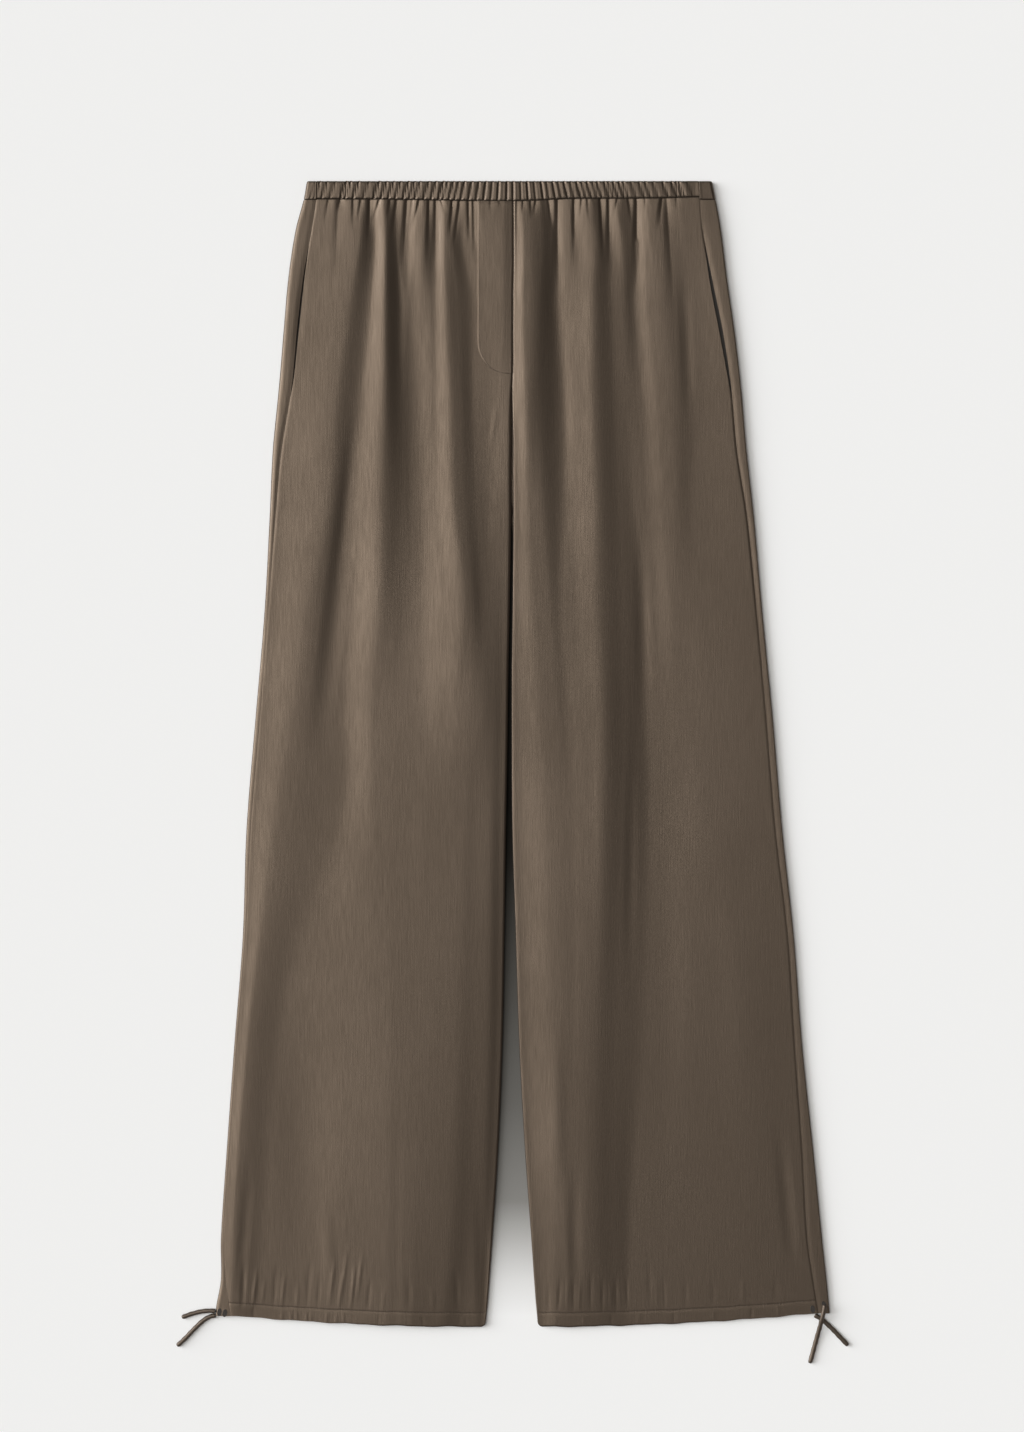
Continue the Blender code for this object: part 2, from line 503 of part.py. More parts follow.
def back(leg, collection, material):
    def place(w, row, layer):
        down = between(ROWS, row)
        normal = normal_of(leg.back_point, w, down) * -leg.side
        return world(leg.back_point(w, down)) - normal * layer * CLOTH_WALL * MM

    name = "back_" + leg.word
    mesh = wall_mesh(name, BACK_COLUMNS, len(ROWS) - 1, place)
    return add_object(name, mesh, collection, material)


def band_front(collection, material):
    """The front of the elastic casing: a slab with its gathers raised on the outer face."""
    columns = BAND_GATHERS * COLUMNS_PER_GATHER
    floor = BAND_WALL + SEAM_GAP

    def place(u, row, layer):
        down = BAND_DEPTH * row / BAND_ROWS
        start = along(SECTIONS, "right_seam", down) + SEAM_GAP / 2
        end = along(SECTIONS, "left_seam", down) - SEAM_GAP / 2
        x = start + (end - start) * u
        to_end = min(1.0, SLANT_ENDS * u, SLANT_ENDS * (1 - u))
        x += GATHER_SLANT * math.tanh(x / SLANT_SPREAD) * (down - BAND_DEPTH / 2) * to_end
        if layer:
            return world((x, down, floor))
        number = u * BAND_GATHERS
        wave = 0.5 + 0.5 * math.cos(2 * math.pi * number)
        middle, swing = (1 + LEAST_RELIEF) / 2, (1 - LEAST_RELIEF) / 2
        size = GATHER_RELIEF * (middle + swing * math.sin(RELIEF_RHYTHM * int(number + 0.5)))
        drop = BAND_EDGE_DROP * abs(2 * row / BAND_ROWS - 1) ** 3
        return world((x, down, floor + BAND_WALL + size * wave - drop))

    mesh = wall_mesh("waistband_front", columns, BAND_ROWS, place)
    return add_object("waistband_front", mesh, collection, material)


def band_back(collection, material):
    """The back of the casing, which turns up round both sides to meet the front."""

    def half(w, down, side):
        """From the middle of the back, w = 0, to one side seam, w = 1."""
        edge = along(SECTIONS, "right_edge" if side < 0 else "left_edge", down)
        seam = along(SECTIONS, "right_seam" if side < 0 else "left_seam", down)
        radius = BAND_SIDE_RADIUS
        turning = edge - side * radius
        if w < BAND_BACK_FOLD:
            return Vector((turning * w / BAND_BACK_FOLD, down, 0.0))
        if w < BAND_BACK_LAP:
            turn = math.pi * (w - BAND_BACK_FOLD) / (BAND_BACK_LAP - BAND_BACK_FOLD)
            return Vector((turning + side * radius * math.sin(turn), down, radius * (1 - math.cos(turn))))
        share = (w - BAND_BACK_LAP) / (1 - BAND_BACK_LAP)
        reach = abs(turning - seam) - SEAM_GAP / 2
        return Vector((turning - side * reach * share, down, 2 * radius))

    def surface(u, down):
        return half(abs(2 * u - 1), down, -1 if u < 0.5 else 1)

    def place(u, row, layer):
        down = BAND_DEPTH * row
        normal = -normal_of(surface, u, down)
        return world(surface(u, down)) - normal * layer * BAND_WALL * MM

    mesh = wall_mesh("waistband_back", BAND_BACK_COLUMNS, 1, place)
    return add_object("waistband_back", mesh, collection, material)


def fly(leg, collection, material):
    """The mock fly: a patch on the right front, made from that front's own points."""

    def place(u, row, layer):
        share = 1 - (1 - row / FLY_ROWS) ** FLY_CROWDING
        down = BAND_DEPTH + SEAM_GAP + (FLY_END - BAND_DEPTH) * share
        curve = smoothstep(0, 1, (down - FLY_BEND) / (FLY_END - FLY_BEND))
        width = FLY_WIDTH + (FLY_TIP - FLY_WIDTH) * (1 - math.sqrt(1 - curve ** 2))
        x = -SEAM_GAP / 2 - width * (1 - u)

        def on_front(offset_x, offset_down):
            at_x, at_down = x + offset_x, down + offset_down
            return world((at_x, at_down, leg.top(at_x, at_down, abs(at_x), AMID_CLOTH)))

        across = on_front(1, 0) - on_front(-1, 0)
        normal = across.cross(on_front(0, -1) - on_front(0, 1))
        out = SEAM_GAP + FLY_WALL * (1 - layer)
        return on_front(0, 0) + normal.normalized() * out * MM

    mesh = wall_mesh("mock_fly", FLY_COLUMNS, FLY_ROWS, place)
    return add_object("mock_fly", mesh, collection, material)


def pocket_bag(leg, collection, material):
    """A pocket bag: two layers sewn round, lying on the back from the side seam inwards."""
    outline = [(leg.edge(down) - leg.side * BAG_FROM_EDGE, down) for down in BAG_SIDE_ROWS]
    seam_side = leg.edge(BAG_BOTTOM) - leg.side * BAG_FROM_EDGE
    inner_side = leg.seam(MOUTH_TOP) - leg.side * BAG_REACH
    round_x, round_down = BAG_CORNER
    corners = ((seam_side - leg.side * round_x, 0), (inner_side + leg.side * round_x, math.pi / 2))
    for centre_x, start in corners:
        for step in range(BAG_CORNER_STEPS + 1):
            turn = start + math.pi / 2 * step / BAG_CORNER_STEPS
            x = centre_x + leg.side * round_x * math.cos(turn)
            outline.append((x, BAG_BOTTOM - round_down + round_down * math.sin(turn)))
    outline.append((inner_side, MOUTH_TOP - BAG_ABOVE))
    name = "pocket_bag_" + leg.word
    curve = bpy.data.curves.new(name, "CURVE")
    curve.dimensions = "2D"
    curve.fill_mode = "BOTH"
    curve.extrude = BAG_THICKNESS / 2 * MM
    spline = curve.splines.new("POLY")
    spline.points.add(len(outline) - 1)
    spline.use_cyclic_u = True
    for point, (x, down) in zip(spline.points, outline):
        place = world((x, down, 0))
        point.co = (place.x, place.y, 0, 1)
    bag = add_object(name, curve, collection, material)
    bag.location.z = (CLOTH_WALL + SEAM_GAP + BAG_THICKNESS / 2) * MM
    return bag


def route(points):
    """Evenly spaced points on a smooth curve through a tie's own points."""
    nodes = [Vector(p) for p in points]
    nodes = [2 * nodes[0] - nodes[1]] + nodes + [2 * nodes[-1] - nodes[-2]]
    fine = []
    for before, a, b, after in zip(nodes, nodes[1:], nodes[2:], nodes[3:]):
        for step in range(TIE_FINE_STEPS):
            t = step / TIE_FINE_STEPS
            fine.append(
                0.5 * (2 * a + (b - before) * t + (2 * before - 5 * a + 4 * b - after) * t ** 2
                       + (3 * a - before - 3 * b + after) * t ** 3)
            )
    fine.append(nodes[-2])
    spaced, travelled = [fine[0]], 0.0
    for a, b in zip(fine, fine[1:]):
        travelled += (b - a).length
        if travelled >= TIE_STEP * TIE_DIAMETER:
            spaced.append(b)
            travelled = 0.0
    if travelled > TIE_DIAMETER:
        spaced.append(fine[-1])
    else:
        spaced[-1] = fine[-1]
    return spaced


def tie(name, points, collection, material):
    """A free end of a hem's drawstring."""
    curve = bpy.data.curves.new(name, "CURVE")
    curve.dimensions = "3D"
    curve.bevel_depth = TIE_DIAMETER / 2 * MM
    curve.bevel_resolution = 2
    curve.use_fill_caps = True
    spline = curve.splines.new("POLY")
    centres = route(points)
    spline.points.add(len(centres) - 1)
    for point, centre in zip(spline.points, centres):
        point.co = (*world(centre), 1)
    return add_object(name, curve, collection, material)


def main():
    for obj in list(bpy.data.objects):
        bpy.data.objects.remove(obj)
    collection = bpy.data.collections.new("wide_leg_trousers")
    bpy.context.scene.collection.children.link(collection)
    cloth = satin()
    right, left = Leg(-1), Leg(1)
    for leg in (right, left):
        front(leg, collection, cloth)
        back(leg, collection, cloth)
        pocket_bag(leg, collection, cloth)
    fly(right, collection, cloth)
    band_front(collection, cloth)
    band_back(collection, cloth)
    for name, points in TIES.items():
        tie(name, points, collection, cloth)


main()
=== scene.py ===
"""Looks of a pair of satin trousers that lie flat on their back: wide legs, a gathered elastic
waist, a mock fly, side-seam pockets and hems with drawstring ends.

Lengths in the tables are millimetres on the laid-out garment, as in the source of its solids:
"down" runs from the top edge of the waistband towards the hems, and x runs from the centre
front seam, with the wearer's left leg at +x. world() turns them into metres in the frame.
"""

import math
from collections import namedtuple

import bmesh
import bpy
import numpy as np
from bpy.props import FloatProperty, FloatVectorProperty, PointerProperty
from mathutils import Matrix, Vector

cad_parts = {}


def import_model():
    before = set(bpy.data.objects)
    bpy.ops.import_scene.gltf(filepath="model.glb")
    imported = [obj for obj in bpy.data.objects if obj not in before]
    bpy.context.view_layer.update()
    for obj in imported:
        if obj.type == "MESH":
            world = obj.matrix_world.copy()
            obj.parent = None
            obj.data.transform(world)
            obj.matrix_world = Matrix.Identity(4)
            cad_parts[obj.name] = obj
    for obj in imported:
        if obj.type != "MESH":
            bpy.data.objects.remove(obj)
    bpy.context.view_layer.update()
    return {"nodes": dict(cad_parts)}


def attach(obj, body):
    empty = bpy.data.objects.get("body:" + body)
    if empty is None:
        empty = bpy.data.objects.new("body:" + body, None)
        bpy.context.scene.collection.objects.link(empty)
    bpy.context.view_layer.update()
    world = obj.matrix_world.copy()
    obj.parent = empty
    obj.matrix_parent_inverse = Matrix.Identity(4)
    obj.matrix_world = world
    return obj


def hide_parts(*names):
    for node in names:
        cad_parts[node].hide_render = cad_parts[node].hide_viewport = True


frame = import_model()

bl_info = {
    "name": "Laid-out satin trousers",
    "version": (1, 0, 0),
    "blender": (4, 5, 0),
    "location": "3D View > Sidebar > Trousers",
    "description": "Cloth, gathers, stitching and drawstrings of wide-leg satin trousers laid flat",
    "category": "Add Mesh",
}

MM = 0.001
BODY = "root"
QUARTER_TURN = math.pi / 2

# The garment, as its solids have it
OUTSEAM = 1061.5
BAND_DEPTH = 17.3
SEAM_GAP = 0.12
RISE = 300.0
FLY_SEAM_END = 186.0
FLY_SEAM_DIP = 236.0
CLOTH_TOP = BAND_DEPTH + SEAM_GAP
CLOTH_END = OUTSEAM - 0.1
HEM_DEPTH = 13.0
HEM_LIFT = {"right": 10.4, "left": 12.8}
MIDDLE_X = 9.9
MIDDLE_DOWN = OUTSEAM / 2
CENTRE_HEIGHT = 5.6      # of the upper face, along the centre front seam
INNER_REACH = 2.0        # the folds start this far from a leg's inner edge
LEAST_SPACE = 0.01       # between two fold lines
CROTCH_REACH = 30.0      # below the rise, over which the backs part
SLANT_FROM = 500.0       # below this the rows slant more and more like the hem
DETAIL_FADE = (1.0, 14.0)       # gathers start this far inside the roll, and are whole this far in

# Outline of the laid-out garment, from above
Section = namedtuple("Section", "down right_edge right_seam right_inner left_inner left_seam left_edge")
SECTIONS = (
    Section(0, -190.3, -181.0, 0.0, 0.0, 173.0, 185.6),
    Section(17, -193.2, -181.4, 0.0, 0.0, 173.8, 188.9),
    Section(45, -200.6, -185.7, 0.0, 0.0, 176.6, 193.8),
    Section(90, -207.4, -193.5, 0.0, 0.0, 185.2, 199.4),
    Section(140, -211.8, -199.3, 0.0, 0.0, 195.4, 206.5),
    Section(190, -216.0, -204.0, -0.2, 0.2, 202.8, 212.3),
    Section(250, -221.8, -213.5, -1.8, -0.7, 208.4, 217.6),
    Section(310, -224.6, -219.0, -2.0, -0.5, 217.6, 224.2),
    Section(400, -229.5, -226.0, -2.6, -0.5, 226.7, 232.2),
    Section(500, -238.0, -234.0, -3.7, -0.7, 235.7, 242.0),
    Section(600, -246.1, -242.2, -5.4, 0.0, 244.0, 250.5),
    Section(700, -249.6, -247.0, -6.9, 3.2, 255.6, 261.3),
    Section(800, -257.4, -254.8, -8.8, 6.5, 262.0, 269.0),
    Section(900, -264.6, -262.0, -12.9, 12.0, 269.0, 279.5),
    Section(980, -269.9, -267.2, -18.0, 17.8, 273.6, 287.5),
    Section(1018, -269.9, -265.2, -20.8, 20.4, 279.0, 291.6),
    Section(1044, -274.4, -261.8, -22.7, 22.3, 283.2, 294.1),
    Section(1062, -275.6, -259.3, -24.2, 23.6, 286.0, 295.6),
)

# The rolled edges: their radius at the sides, and how high each leg is along its inner edge
Roll = namedtuple("Roll", "down radius right_height left_height")
ROLLS = (
    Roll(0, 2.7, 6.0, 6.0), Roll(17, 2.7, 6.0, 6.0), Roll(60, 2.8, 6.2, 6.2),
    Roll(200, 2.8, 6.2, 6.2), Roll(300, 2.7, 6.2, 6.1), Roll(388, 2.5, 6.4, 5.8),
    Roll(481, 2.5, 6.7, 5.6), Roll(573, 2.4, 6.1, 5.4), Roll(666, 2.4, 5.3, 5.2),
    Roll(758, 2.3, 4.7, 4.9), Roll(944, 2.2, 4.1, 4.6), Roll(1062, 2.1, 4.0, 4.3),
)
# Widths of the rolls at the sides and along the inner edges, in radii
SIDE_ROUNDING = {"right": 1.5, "left": 0.4}
INNER_ROUNDING = {"right": 1.0, "left": 0.5}

# Seams sunk into the cloth: their depth, and how far the groove spreads to each side of them
Groove = namedtuple("Groove", "depth before past")
HEM_GROOVE = Groove(0.11, 0.6, 1.6)
SIDE_GROOVE = Groove(0.35, 0.9, 2.4)
WAIST_GROOVE = Groove(0.3, 0.5, 0.5)
CENTRE_GROOVE = Groove(0.8, 0.7, 0.7)
SIDE_GROOVE_FADE = (0.4, 1.2)   # in radii from the fold at the side
# By how much the side seam's groove is shallower below the pocket mouth and above it
SHALLOWER_BELOW = 0.17
SHALLOWER_ABOVE = {"right": 0.0, "left": 0.27}
BELOW_POCKET = (350.0, 450.0)
ABOVE_POCKET = (34.0, 64.0)

# The folds: lines of crest and of trough, listed from the inner edge outwards. At each of
# FOLD_DOWN's places down the leg, a line has its distance from the centre line and the height
# of the upper face.
FOLD_DOWN = (17, 55, 110, 203, 295, 388, 481, 573, 758, 944, 1062)
FoldLine = namedtuple("FoldLine", "outs heights")
FOLD_LINES = {
    "right": (
        FoldLine(outs=(31, 31, 30, 22, 20, 18, 17, 20, 21, 26, 32),
                 heights=(5.2, 5, 4.8, 5.3, 6, 7, 7.6, 6.9, 5.9, 4.9, 4.2)),
        FoldLine(outs=(40, 45, 36, 35, 32, 28, 28, 34, 36, 38, 46),
                 heights=(5, 4.6, 4.6, 5.4, 6.5, 7.7, 8.3, 7.1, 6.4, 5.5, 4.4)),
        FoldLine(outs=(50, 56, 51, 48, 46, 37, 40, 44, 50, 56, 66),
                 heights=(5.4, 5.8, 5.9, 6.7, 7.8, 8.8, 8.5, 7.3, 6.9, 6.7, 5.6)),
        FoldLine(outs=(61, 62.5, 61, 57, 54, 45, 50, 54, 60, 66, 76),
                 heights=(6.2, 6, 6.6, 7.2, 8.2, 9.2, 8.4, 7.3, 7, 6.9, 5.8)),
        FoldLine(outs=(70, 70.5, 71.5, 71, 71, 62, 64, 68, 74, 82, 88),
                 heights=(4.8, 4.2, 4.9, 5.2, 6.2, 7.9, 7.8, 7.2, 7.1, 7.1, 6.2)),
        FoldLine(outs=(79, 83, 84, 84, 84, 86, 84, 84, 86, 92, 94),
                 heights=(5.6, 5.7, 5.2, 4.8, 5.4, 6.2, 6.9, 7.1, 7.1, 7.2, 6.4)),
        FoldLine(outs=(87, 89, 93, 94, 94, 92, 94, 94, 94, 100, 102),
                 heights=(6, 5.4, 4.8, 4.9, 5.6, 6.2, 6.8, 7, 7.1, 7.2, 6.4)),
        FoldLine(outs=(97, 97, 99, 99, 98, 100, 104, 102, 102, 106, 108),
                 heights=(5, 4.4, 4.6, 5.1, 5.9, 6.4, 6.8, 7, 7.1, 7.1, 6.3)),
        FoldLine(outs=(104, 106, 102, 102, 101, 108, 112, 110, 110, 112, 114),
                 heights=(5, 4.7, 4.5, 5.3, 6.1, 6.8, 6.85, 7, 7.1, 7.1, 6.3)),
        FoldLine(outs=(119, 117.5, 118, 118.5, 121, 122, 128, 127, 122, 122, 122),
                 heights=(6.6, 6.8, 7.7, 8.2, 7.9, 7.4, 6.9, 6.9, 6.9, 6.9, 6.1)),
        FoldLine(outs=(129, 127, 131, 140, 147, 151, 157, 157, 208, 226, 236),
                 heights=(5.1, 4.8, 5.6, 5.6, 5.2, 4.8, 4.8, 5, 4.7, 4.1, 3.9)),
        FoldLine(outs=(140, 142, 151, 164, 171, 188, 200, 214, 240, 256, 259),
                 heights=(6, 6.6, 7.1, 7.2, 6.9, 6.7, 6.3, 6.1, 5.8, 5.2, 4.6)),
    ),
    "left": (
        FoldLine(outs=(10, 11, 10.5, 13, 16, 20, 28, 34, 38, 42, 42),
                 heights=(5.8, 7, 7.7, 7.8, 7, 6.8, 6.8, 6.8, 6.6, 6.3, 5.2)),
        FoldLine(outs=(25, 27, 25, 24, 26, 34, 40, 46, 50, 50, 50),
                 heights=(5.4, 6.2, 7, 7.1, 6.9, 6.7, 6.8, 6.9, 6.8, 6.4, 5.1)),
        FoldLine(outs=(32, 40.5, 42, 48, 49, 46, 50, 54, 56, 56, 58),
                 heights=(4.8, 4.4, 4.2, 4.3, 5.2, 6.2, 6.6, 6.9, 6.8, 6.4, 5)),
        FoldLine(outs=(42, 48, 52, 56, 58, 58, 62, 64, 64, 62, 66),
                 heights=(5.6, 5.2, 5, 5.2, 5.6, 6.2, 6.9, 7.1, 6.9, 6.4, 4.9)),
        FoldLine(outs=(53, 59, 63, 66, 68, 68, 72, 74, 70, 68, 74),
                 heights=(5, 5.1, 5.9, 6.1, 6.3, 6.5, 7.2, 7.3, 6.9, 6.4, 4.7)),
        FoldLine(outs=(70, 76, 75, 75, 78, 78, 83, 82, 78, 76, 84),
                 heights=(5.9, 6.3, 6.9, 6.8, 6.8, 6.8, 7.5, 7.5, 6.8, 6.2, 4.4)),
        FoldLine(outs=(84, 93, 92.6, 97, 100, 103, 104, 104, 98, 94, 96),
                 heights=(4.9, 4.7, 5.3, 5, 5.1, 5.1, 5.7, 6, 5.7, 5, 3.9)),
        FoldLine(outs=(94, 101, 103.5, 109, 114, 124, 126, 129, 126, 112, 110),
                 heights=(5.4, 5.2, 5.1, 4.6, 4.4, 3.8, 4, 4.1, 4.5, 4, 3.6)),
        FoldLine(outs=(110, 115, 114, 120, 124, 131, 136, 140, 142, 136, 136),
                 heights=(4.6, 4.3, 4.3, 4.4, 4.4, 3.8, 4.1, 4.1, 4.4, 4, 3.6)),
        FoldLine(outs=(121, 123, 126, 136, 142, 148, 152, 158, 166, 160, 162),
                 heights=(5.5, 5.4, 5.2, 5.5, 5.2, 4.4, 4.4, 4.3, 4.7, 4.1, 3.7)),
        FoldLine(outs=(134, 138, 140, 149, 152, 156, 168, 176, 190, 190, 196),
                 heights=(5.7, 5.7, 5.6, 5.8, 5.4, 4.5, 4.6, 4.6, 4.8, 4.3, 3.8)),
        FoldLine(outs=(152, 160, 168, 172, 168, 172, 184, 196, 212, 224, 230),
                 heights=(5.3, 5.2, 4.9, 5.1, 5, 4.7, 4.8, 4.7, 5, 4.5, 4)),
    ),
}

# Gathers that run out of the waist seam: a trough, its reach downwards and its depth. The
# flank towards -x is the steep one.
GATHER_START, GATHER_WIDENS = 0.7, 0.9          # in half-widths
GATHER_ONSET = (-0.4, 0.15)     # shares of the reach: at the seam a gather isn't at its deepest
GATHER_FADE = 1.3
STEEP_SPREAD, EASY_SPREAD = 0.85, 2.3           # in half-widths
STEEP_POWER, EASY_POWER = 1.7, 1.4
Gather = namedtuple("Gather", "x lean reach depth half_width")
GATHERS = {
    "right": (
        Gather(-190, -3, 30, 0.5, 3.0), Gather(-170, -4, 24, 0.5, 3.5), Gather(-159, -2, 12, 1.2, 2.8),
        Gather(-161, -4, 92, 0.6, 6.5), Gather(-147, 0, 30, 0.7, 3.0), Gather(-140, -3, 22, 0.9, 2.4),
        Gather(-132, -1, 40, 1.4, 3.6), Gather(-123, -6, 22, 1.3, 2.4), Gather(-113, -2, 20, 0.9, 2.8),
        Gather(-107, -5, 44, 1.0, 3.2), Gather(-97.5, -4, 70, 1.3, 4.8), Gather(-92.6, -3, 34, 0.7, 2.4),
        Gather(-86, -7, 30, 1.2, 2.6), Gather(-77, -1, 60, 1.2, 3.0), Gather(-71, 0, 60, 0.95, 3.2),
        Gather(-66, 4, 14, 0.7, 1.8), Gather(-55, -3, 36, 1.6, 2.8), Gather(-48.5, -6, 50, 1.3, 3.2),
        Gather(-40.5, 1, 44, 1.2, 2.4), Gather(-36, 2, 60, 1.1, 3.0), Gather(-20, 0, 10, 0.4, 2.4),
        Gather(-12, 1, 9, 0.35, 2.2),
    ),
    "left": (
        Gather(2.8, 0, 110, 0.5, 2.6), Gather(9.5, -1, 14, 0.6, 2.0), Gather(17, 1, 18, 0.8, 2.2),
        Gather(22, -2, 16, 0.9, 2.4), Gather(33.5, 5, 34, 0.8, 3.0), Gather(42, 1, 96, 1.9, 6.2),
        Gather(57.5, 0, 66, 1.3, 3.6), Gather(64.5, -2, 24, 0.7, 2.6), Gather(69.5, 2, 22, 0.6, 2.4),
        Gather(81.5, 4, 62, 1.6, 3.4), Gather(89.5, 1, 66, 1.7, 4.2), Gather(97.5, -4, 20, 0.6, 2.4),
        Gather(107.5, 4, 26, 0.7, 2.6), Gather(115.5, 0, 90, 2.0, 5.6), Gather(123, 1, 14, 0.5, 2.0),
        Gather(139, -3, 30, 1.5, 4.6), Gather(143, 8, 120, 0.9, 7.0), Gather(152, 1, 12, 0.4, 2.6),
    ),
}

# Softer creases placed one by one: a trough or a ridge along a bent line
Crease = namedtuple("Crease", "x_start start x_middle middle x_end end half_width height")
CREASES = {
    "right": (
        Crease(-144, 196, -155, 300, -167, 404, 7, -0.25),
        Crease(-90, 0, -89.5, 150, -90, 330, 15, -0.65),
        Crease(-14, 206, -17, 228, -21, 250, 2.2, 0.35),
        Crease(-141, 200, -162, 380, -183, 560, 13, -0.55),
        Crease(0.5, -150, 0.5, 45, 0, 240, 10, -0.5),
        Crease(-196, 740, -190, 900, -186, 1060, 34, -0.7),
        Crease(-190, 60, -196, 110, -201, 180, 6, -0.25),
        Crease(-243, 900, -248, 980, -254, 1046, 7, -0.3),
        Crease(-30, 900, -27, 980, -26, 1100, 9, -0.35),
        Crease(-176, 930, -170, 990, -168, 1046, 9, 0.3),
    ),
    "left": (
        Crease(158, 70, 162, 150, 164, 240, 8, -0.35),
        Crease(20, 0, 20.5, 130, 21, 260, 9, 0.22),
        Crease(120, 300, 121, 400, 124, 520, 9, -0.3),
        Crease(112, 500, 110, 620, 108, 760, 7, -0.25),
        Crease(60, 900, 58, 980, 62, 1046, 8, -0.3),
        Crease(36, 880, 37, 985, 38, 1090, 16, -0.4),
        Crease(40, 760, 42, 860, 44, 960, 9, 0.25),
        Crease(246, 860, 254, 940, 262, 1020, 9, -0.3),
    ),
}

# Short puckers that the hem's stitching draws up: a slanting ridge or trough, from its upper
# end to its lower one
STROKE_HEIGHT = 0.7
STROKE_FADE = 1.5
Stroke = namedtuple("Stroke", "x start end lean half_width height")
HEM_STROKES = {
    "right": (
        Stroke(-248, 1000, 1048, -2, 3.4, -0.45), Stroke(-236, 1006, 1047, -5, 2.4, 0.4),
        Stroke(-229, 1016, 1043, -3, 2.0, 0.22), Stroke(-218, 1000, 1048, -3, 3.0, -0.25),
        Stroke(-210, 1008, 1046, -4, 2.2, 0.32), Stroke(-198, 1020, 1048, -2, 2.2, 0.2),
        Stroke(-187, 996, 1048, -3, 3.2, -0.25), Stroke(-178, 1014, 1047, -2, 2.4, -0.2),
        Stroke(-164, 996, 1047, -6, 2.6, 0.3), Stroke(-157, 1010, 1049, -4, 2.0, 0.32),
        Stroke(-152, 984, 1043, -7, 2.4, 0.3), Stroke(-145, 1000, 1048, -5, 2.0, 0.4),
        Stroke(-138, 988, 1040, -6, 2.4, 0.3), Stroke(-131, 1014, 1049, -3, 2.4, -0.25),
        Stroke(-118, 1024, 1050, -2, 2.4, 0.15), Stroke(-96, 1012, 1050, 1, 4.0, -0.2),
        Stroke(-74, 1022, 1050, 1, 3.0, 0.14), Stroke(-52, 1006, 1050, 2, 4.0, -0.22),
        Stroke(-213, 1045, 1059, 0, 1.5, 0.26), Stroke(-205.5, 1046, 1060, 1, 1.4, 0.3),
        Stroke(-199.6, 1045, 1060, 0, 1.5, 0.26), Stroke(-191.1, 1046, 1061, 1, 1.4, 0.3),
        Stroke(-186.4, 1047, 1060, 0, 1.3, 0.22), Stroke(-171.3, 1046, 1061, -1, 1.5, 0.26),
        Stroke(-163, 1048, 1061, 0, 1.4, 0.22), Stroke(-156.5, 1047, 1061, 1, 1.4, 0.26),
        Stroke(-240, 1040, 1056, 1, 2.2, -0.2), Stroke(-124, 1049, 1061, 0, 2.0, -0.14),
        Stroke(-84, 1050, 1061, 3, 2.6, -0.16), Stroke(-46, 1050, 1062, 1, 2.0, 0.14),
    ),
    "left": (
        Stroke(33, 1022, 1051, 1, 2.4, -0.2), Stroke(45, 1014, 1050, -2, 2.4, -0.3),
        Stroke(52, 1012, 1050, -1, 1.8, 0.2), Stroke(57, 1012, 1049, 0, 2.2, -0.32),
        Stroke(63, 1014, 1050, -1, 1.8, 0.2), Stroke(73, 1008, 1049, 0, 2.6, -0.25),
        Stroke(84, 1014, 1050, 0, 2.2, -0.28), Stroke(91, 1018, 1048, 1, 1.8, 0.16),
        Stroke(96, 1012, 1050, 1, 2.2, -0.24), Stroke(106, 1010, 1047, 1, 2.2, -0.2),
        Stroke(127, 998, 1044, 1, 3.0, -0.13), Stroke(134, 1012, 1049, 1, 2.0, 0.1),
        Stroke(140, 1010, 1048, 2, 2.4, -0.12), Stroke(160, 1014, 1048, 2, 3.0, -0.12),
        Stroke(186, 1014, 1046, 1, 4.0, -0.1), Stroke(214, 1016, 1044, 0, 3.0, 0.12),
        Stroke(244, 1010, 1040, 1, 4.0, -0.1), Stroke(40, 1050, 1061, 0, 1.8, 0.14),
        Stroke(66, 1050, 1061, 1, 1.6, 0.16), Stroke(92, 1049, 1061, 0, 2.0, -0.14),
        Stroke(118, 1048, 1061, -1, 1.8, 0.12), Stroke(150, 1047, 1060, 0, 2.0, -0.14),
        Stroke(186, 1045, 1058, 1, 1.8, 0.14), Stroke(222, 1042, 1056, 0, 2.0, -0.16),
        Stroke(246, 1040, 1054, 1, 1.8, 0.14),
    ),
}

# How far the waist seam strays from a straight line, at places across the front
Dip = namedtuple("Dip", "x sag")
WAIST_DIPS = (
    Dip(-181, -0.9), Dip(-120, -0.7), Dip(-60, 0.2), Dip(-6, 1.0), Dip(24, 0.2), Dip(50, -1.3),
    Dip(100, -1.5), Dip(135, -1.7), Dip(173, -2.9),
)
DIP_FADES_AT = 70.0
BESIDE_SEAM = 20.0       # where the waist dips, the front follows its side seam over this width

# How far the centre front seam strays to the side, at places down the front
Bend = namedtuple("Bend", "down shift")
SEAM_BENDS = (
    Bend(17, 1.4), Bend(80, 1.6), Bend(105, 0.9), Bend(165, 0.8), Bend(200, -0.2), Bend(240, 1.4),
    Bend(320, 1.4), Bend(390, 0.7), Bend(450, 0),
)
BEND_REACH = (2.0, 18.0)

# The hem's edge: it waves a little, and turns down to the surface
CORNER_RADIUS = 5.5      # of the hems' inner corners
Wave = namedtuple("Wave", "length share start")
HEM_WAVES = (Wave(7.3, 1.0, 0.0), Wave(3.9, 0.7, 1.0))
HEM_WAVE = 0.3
HEM_WAVE_FROM = -16.0    # from the hem's stitching
HEM_ROLL = 0.9
HEM_ROLL_DROP = 0.7

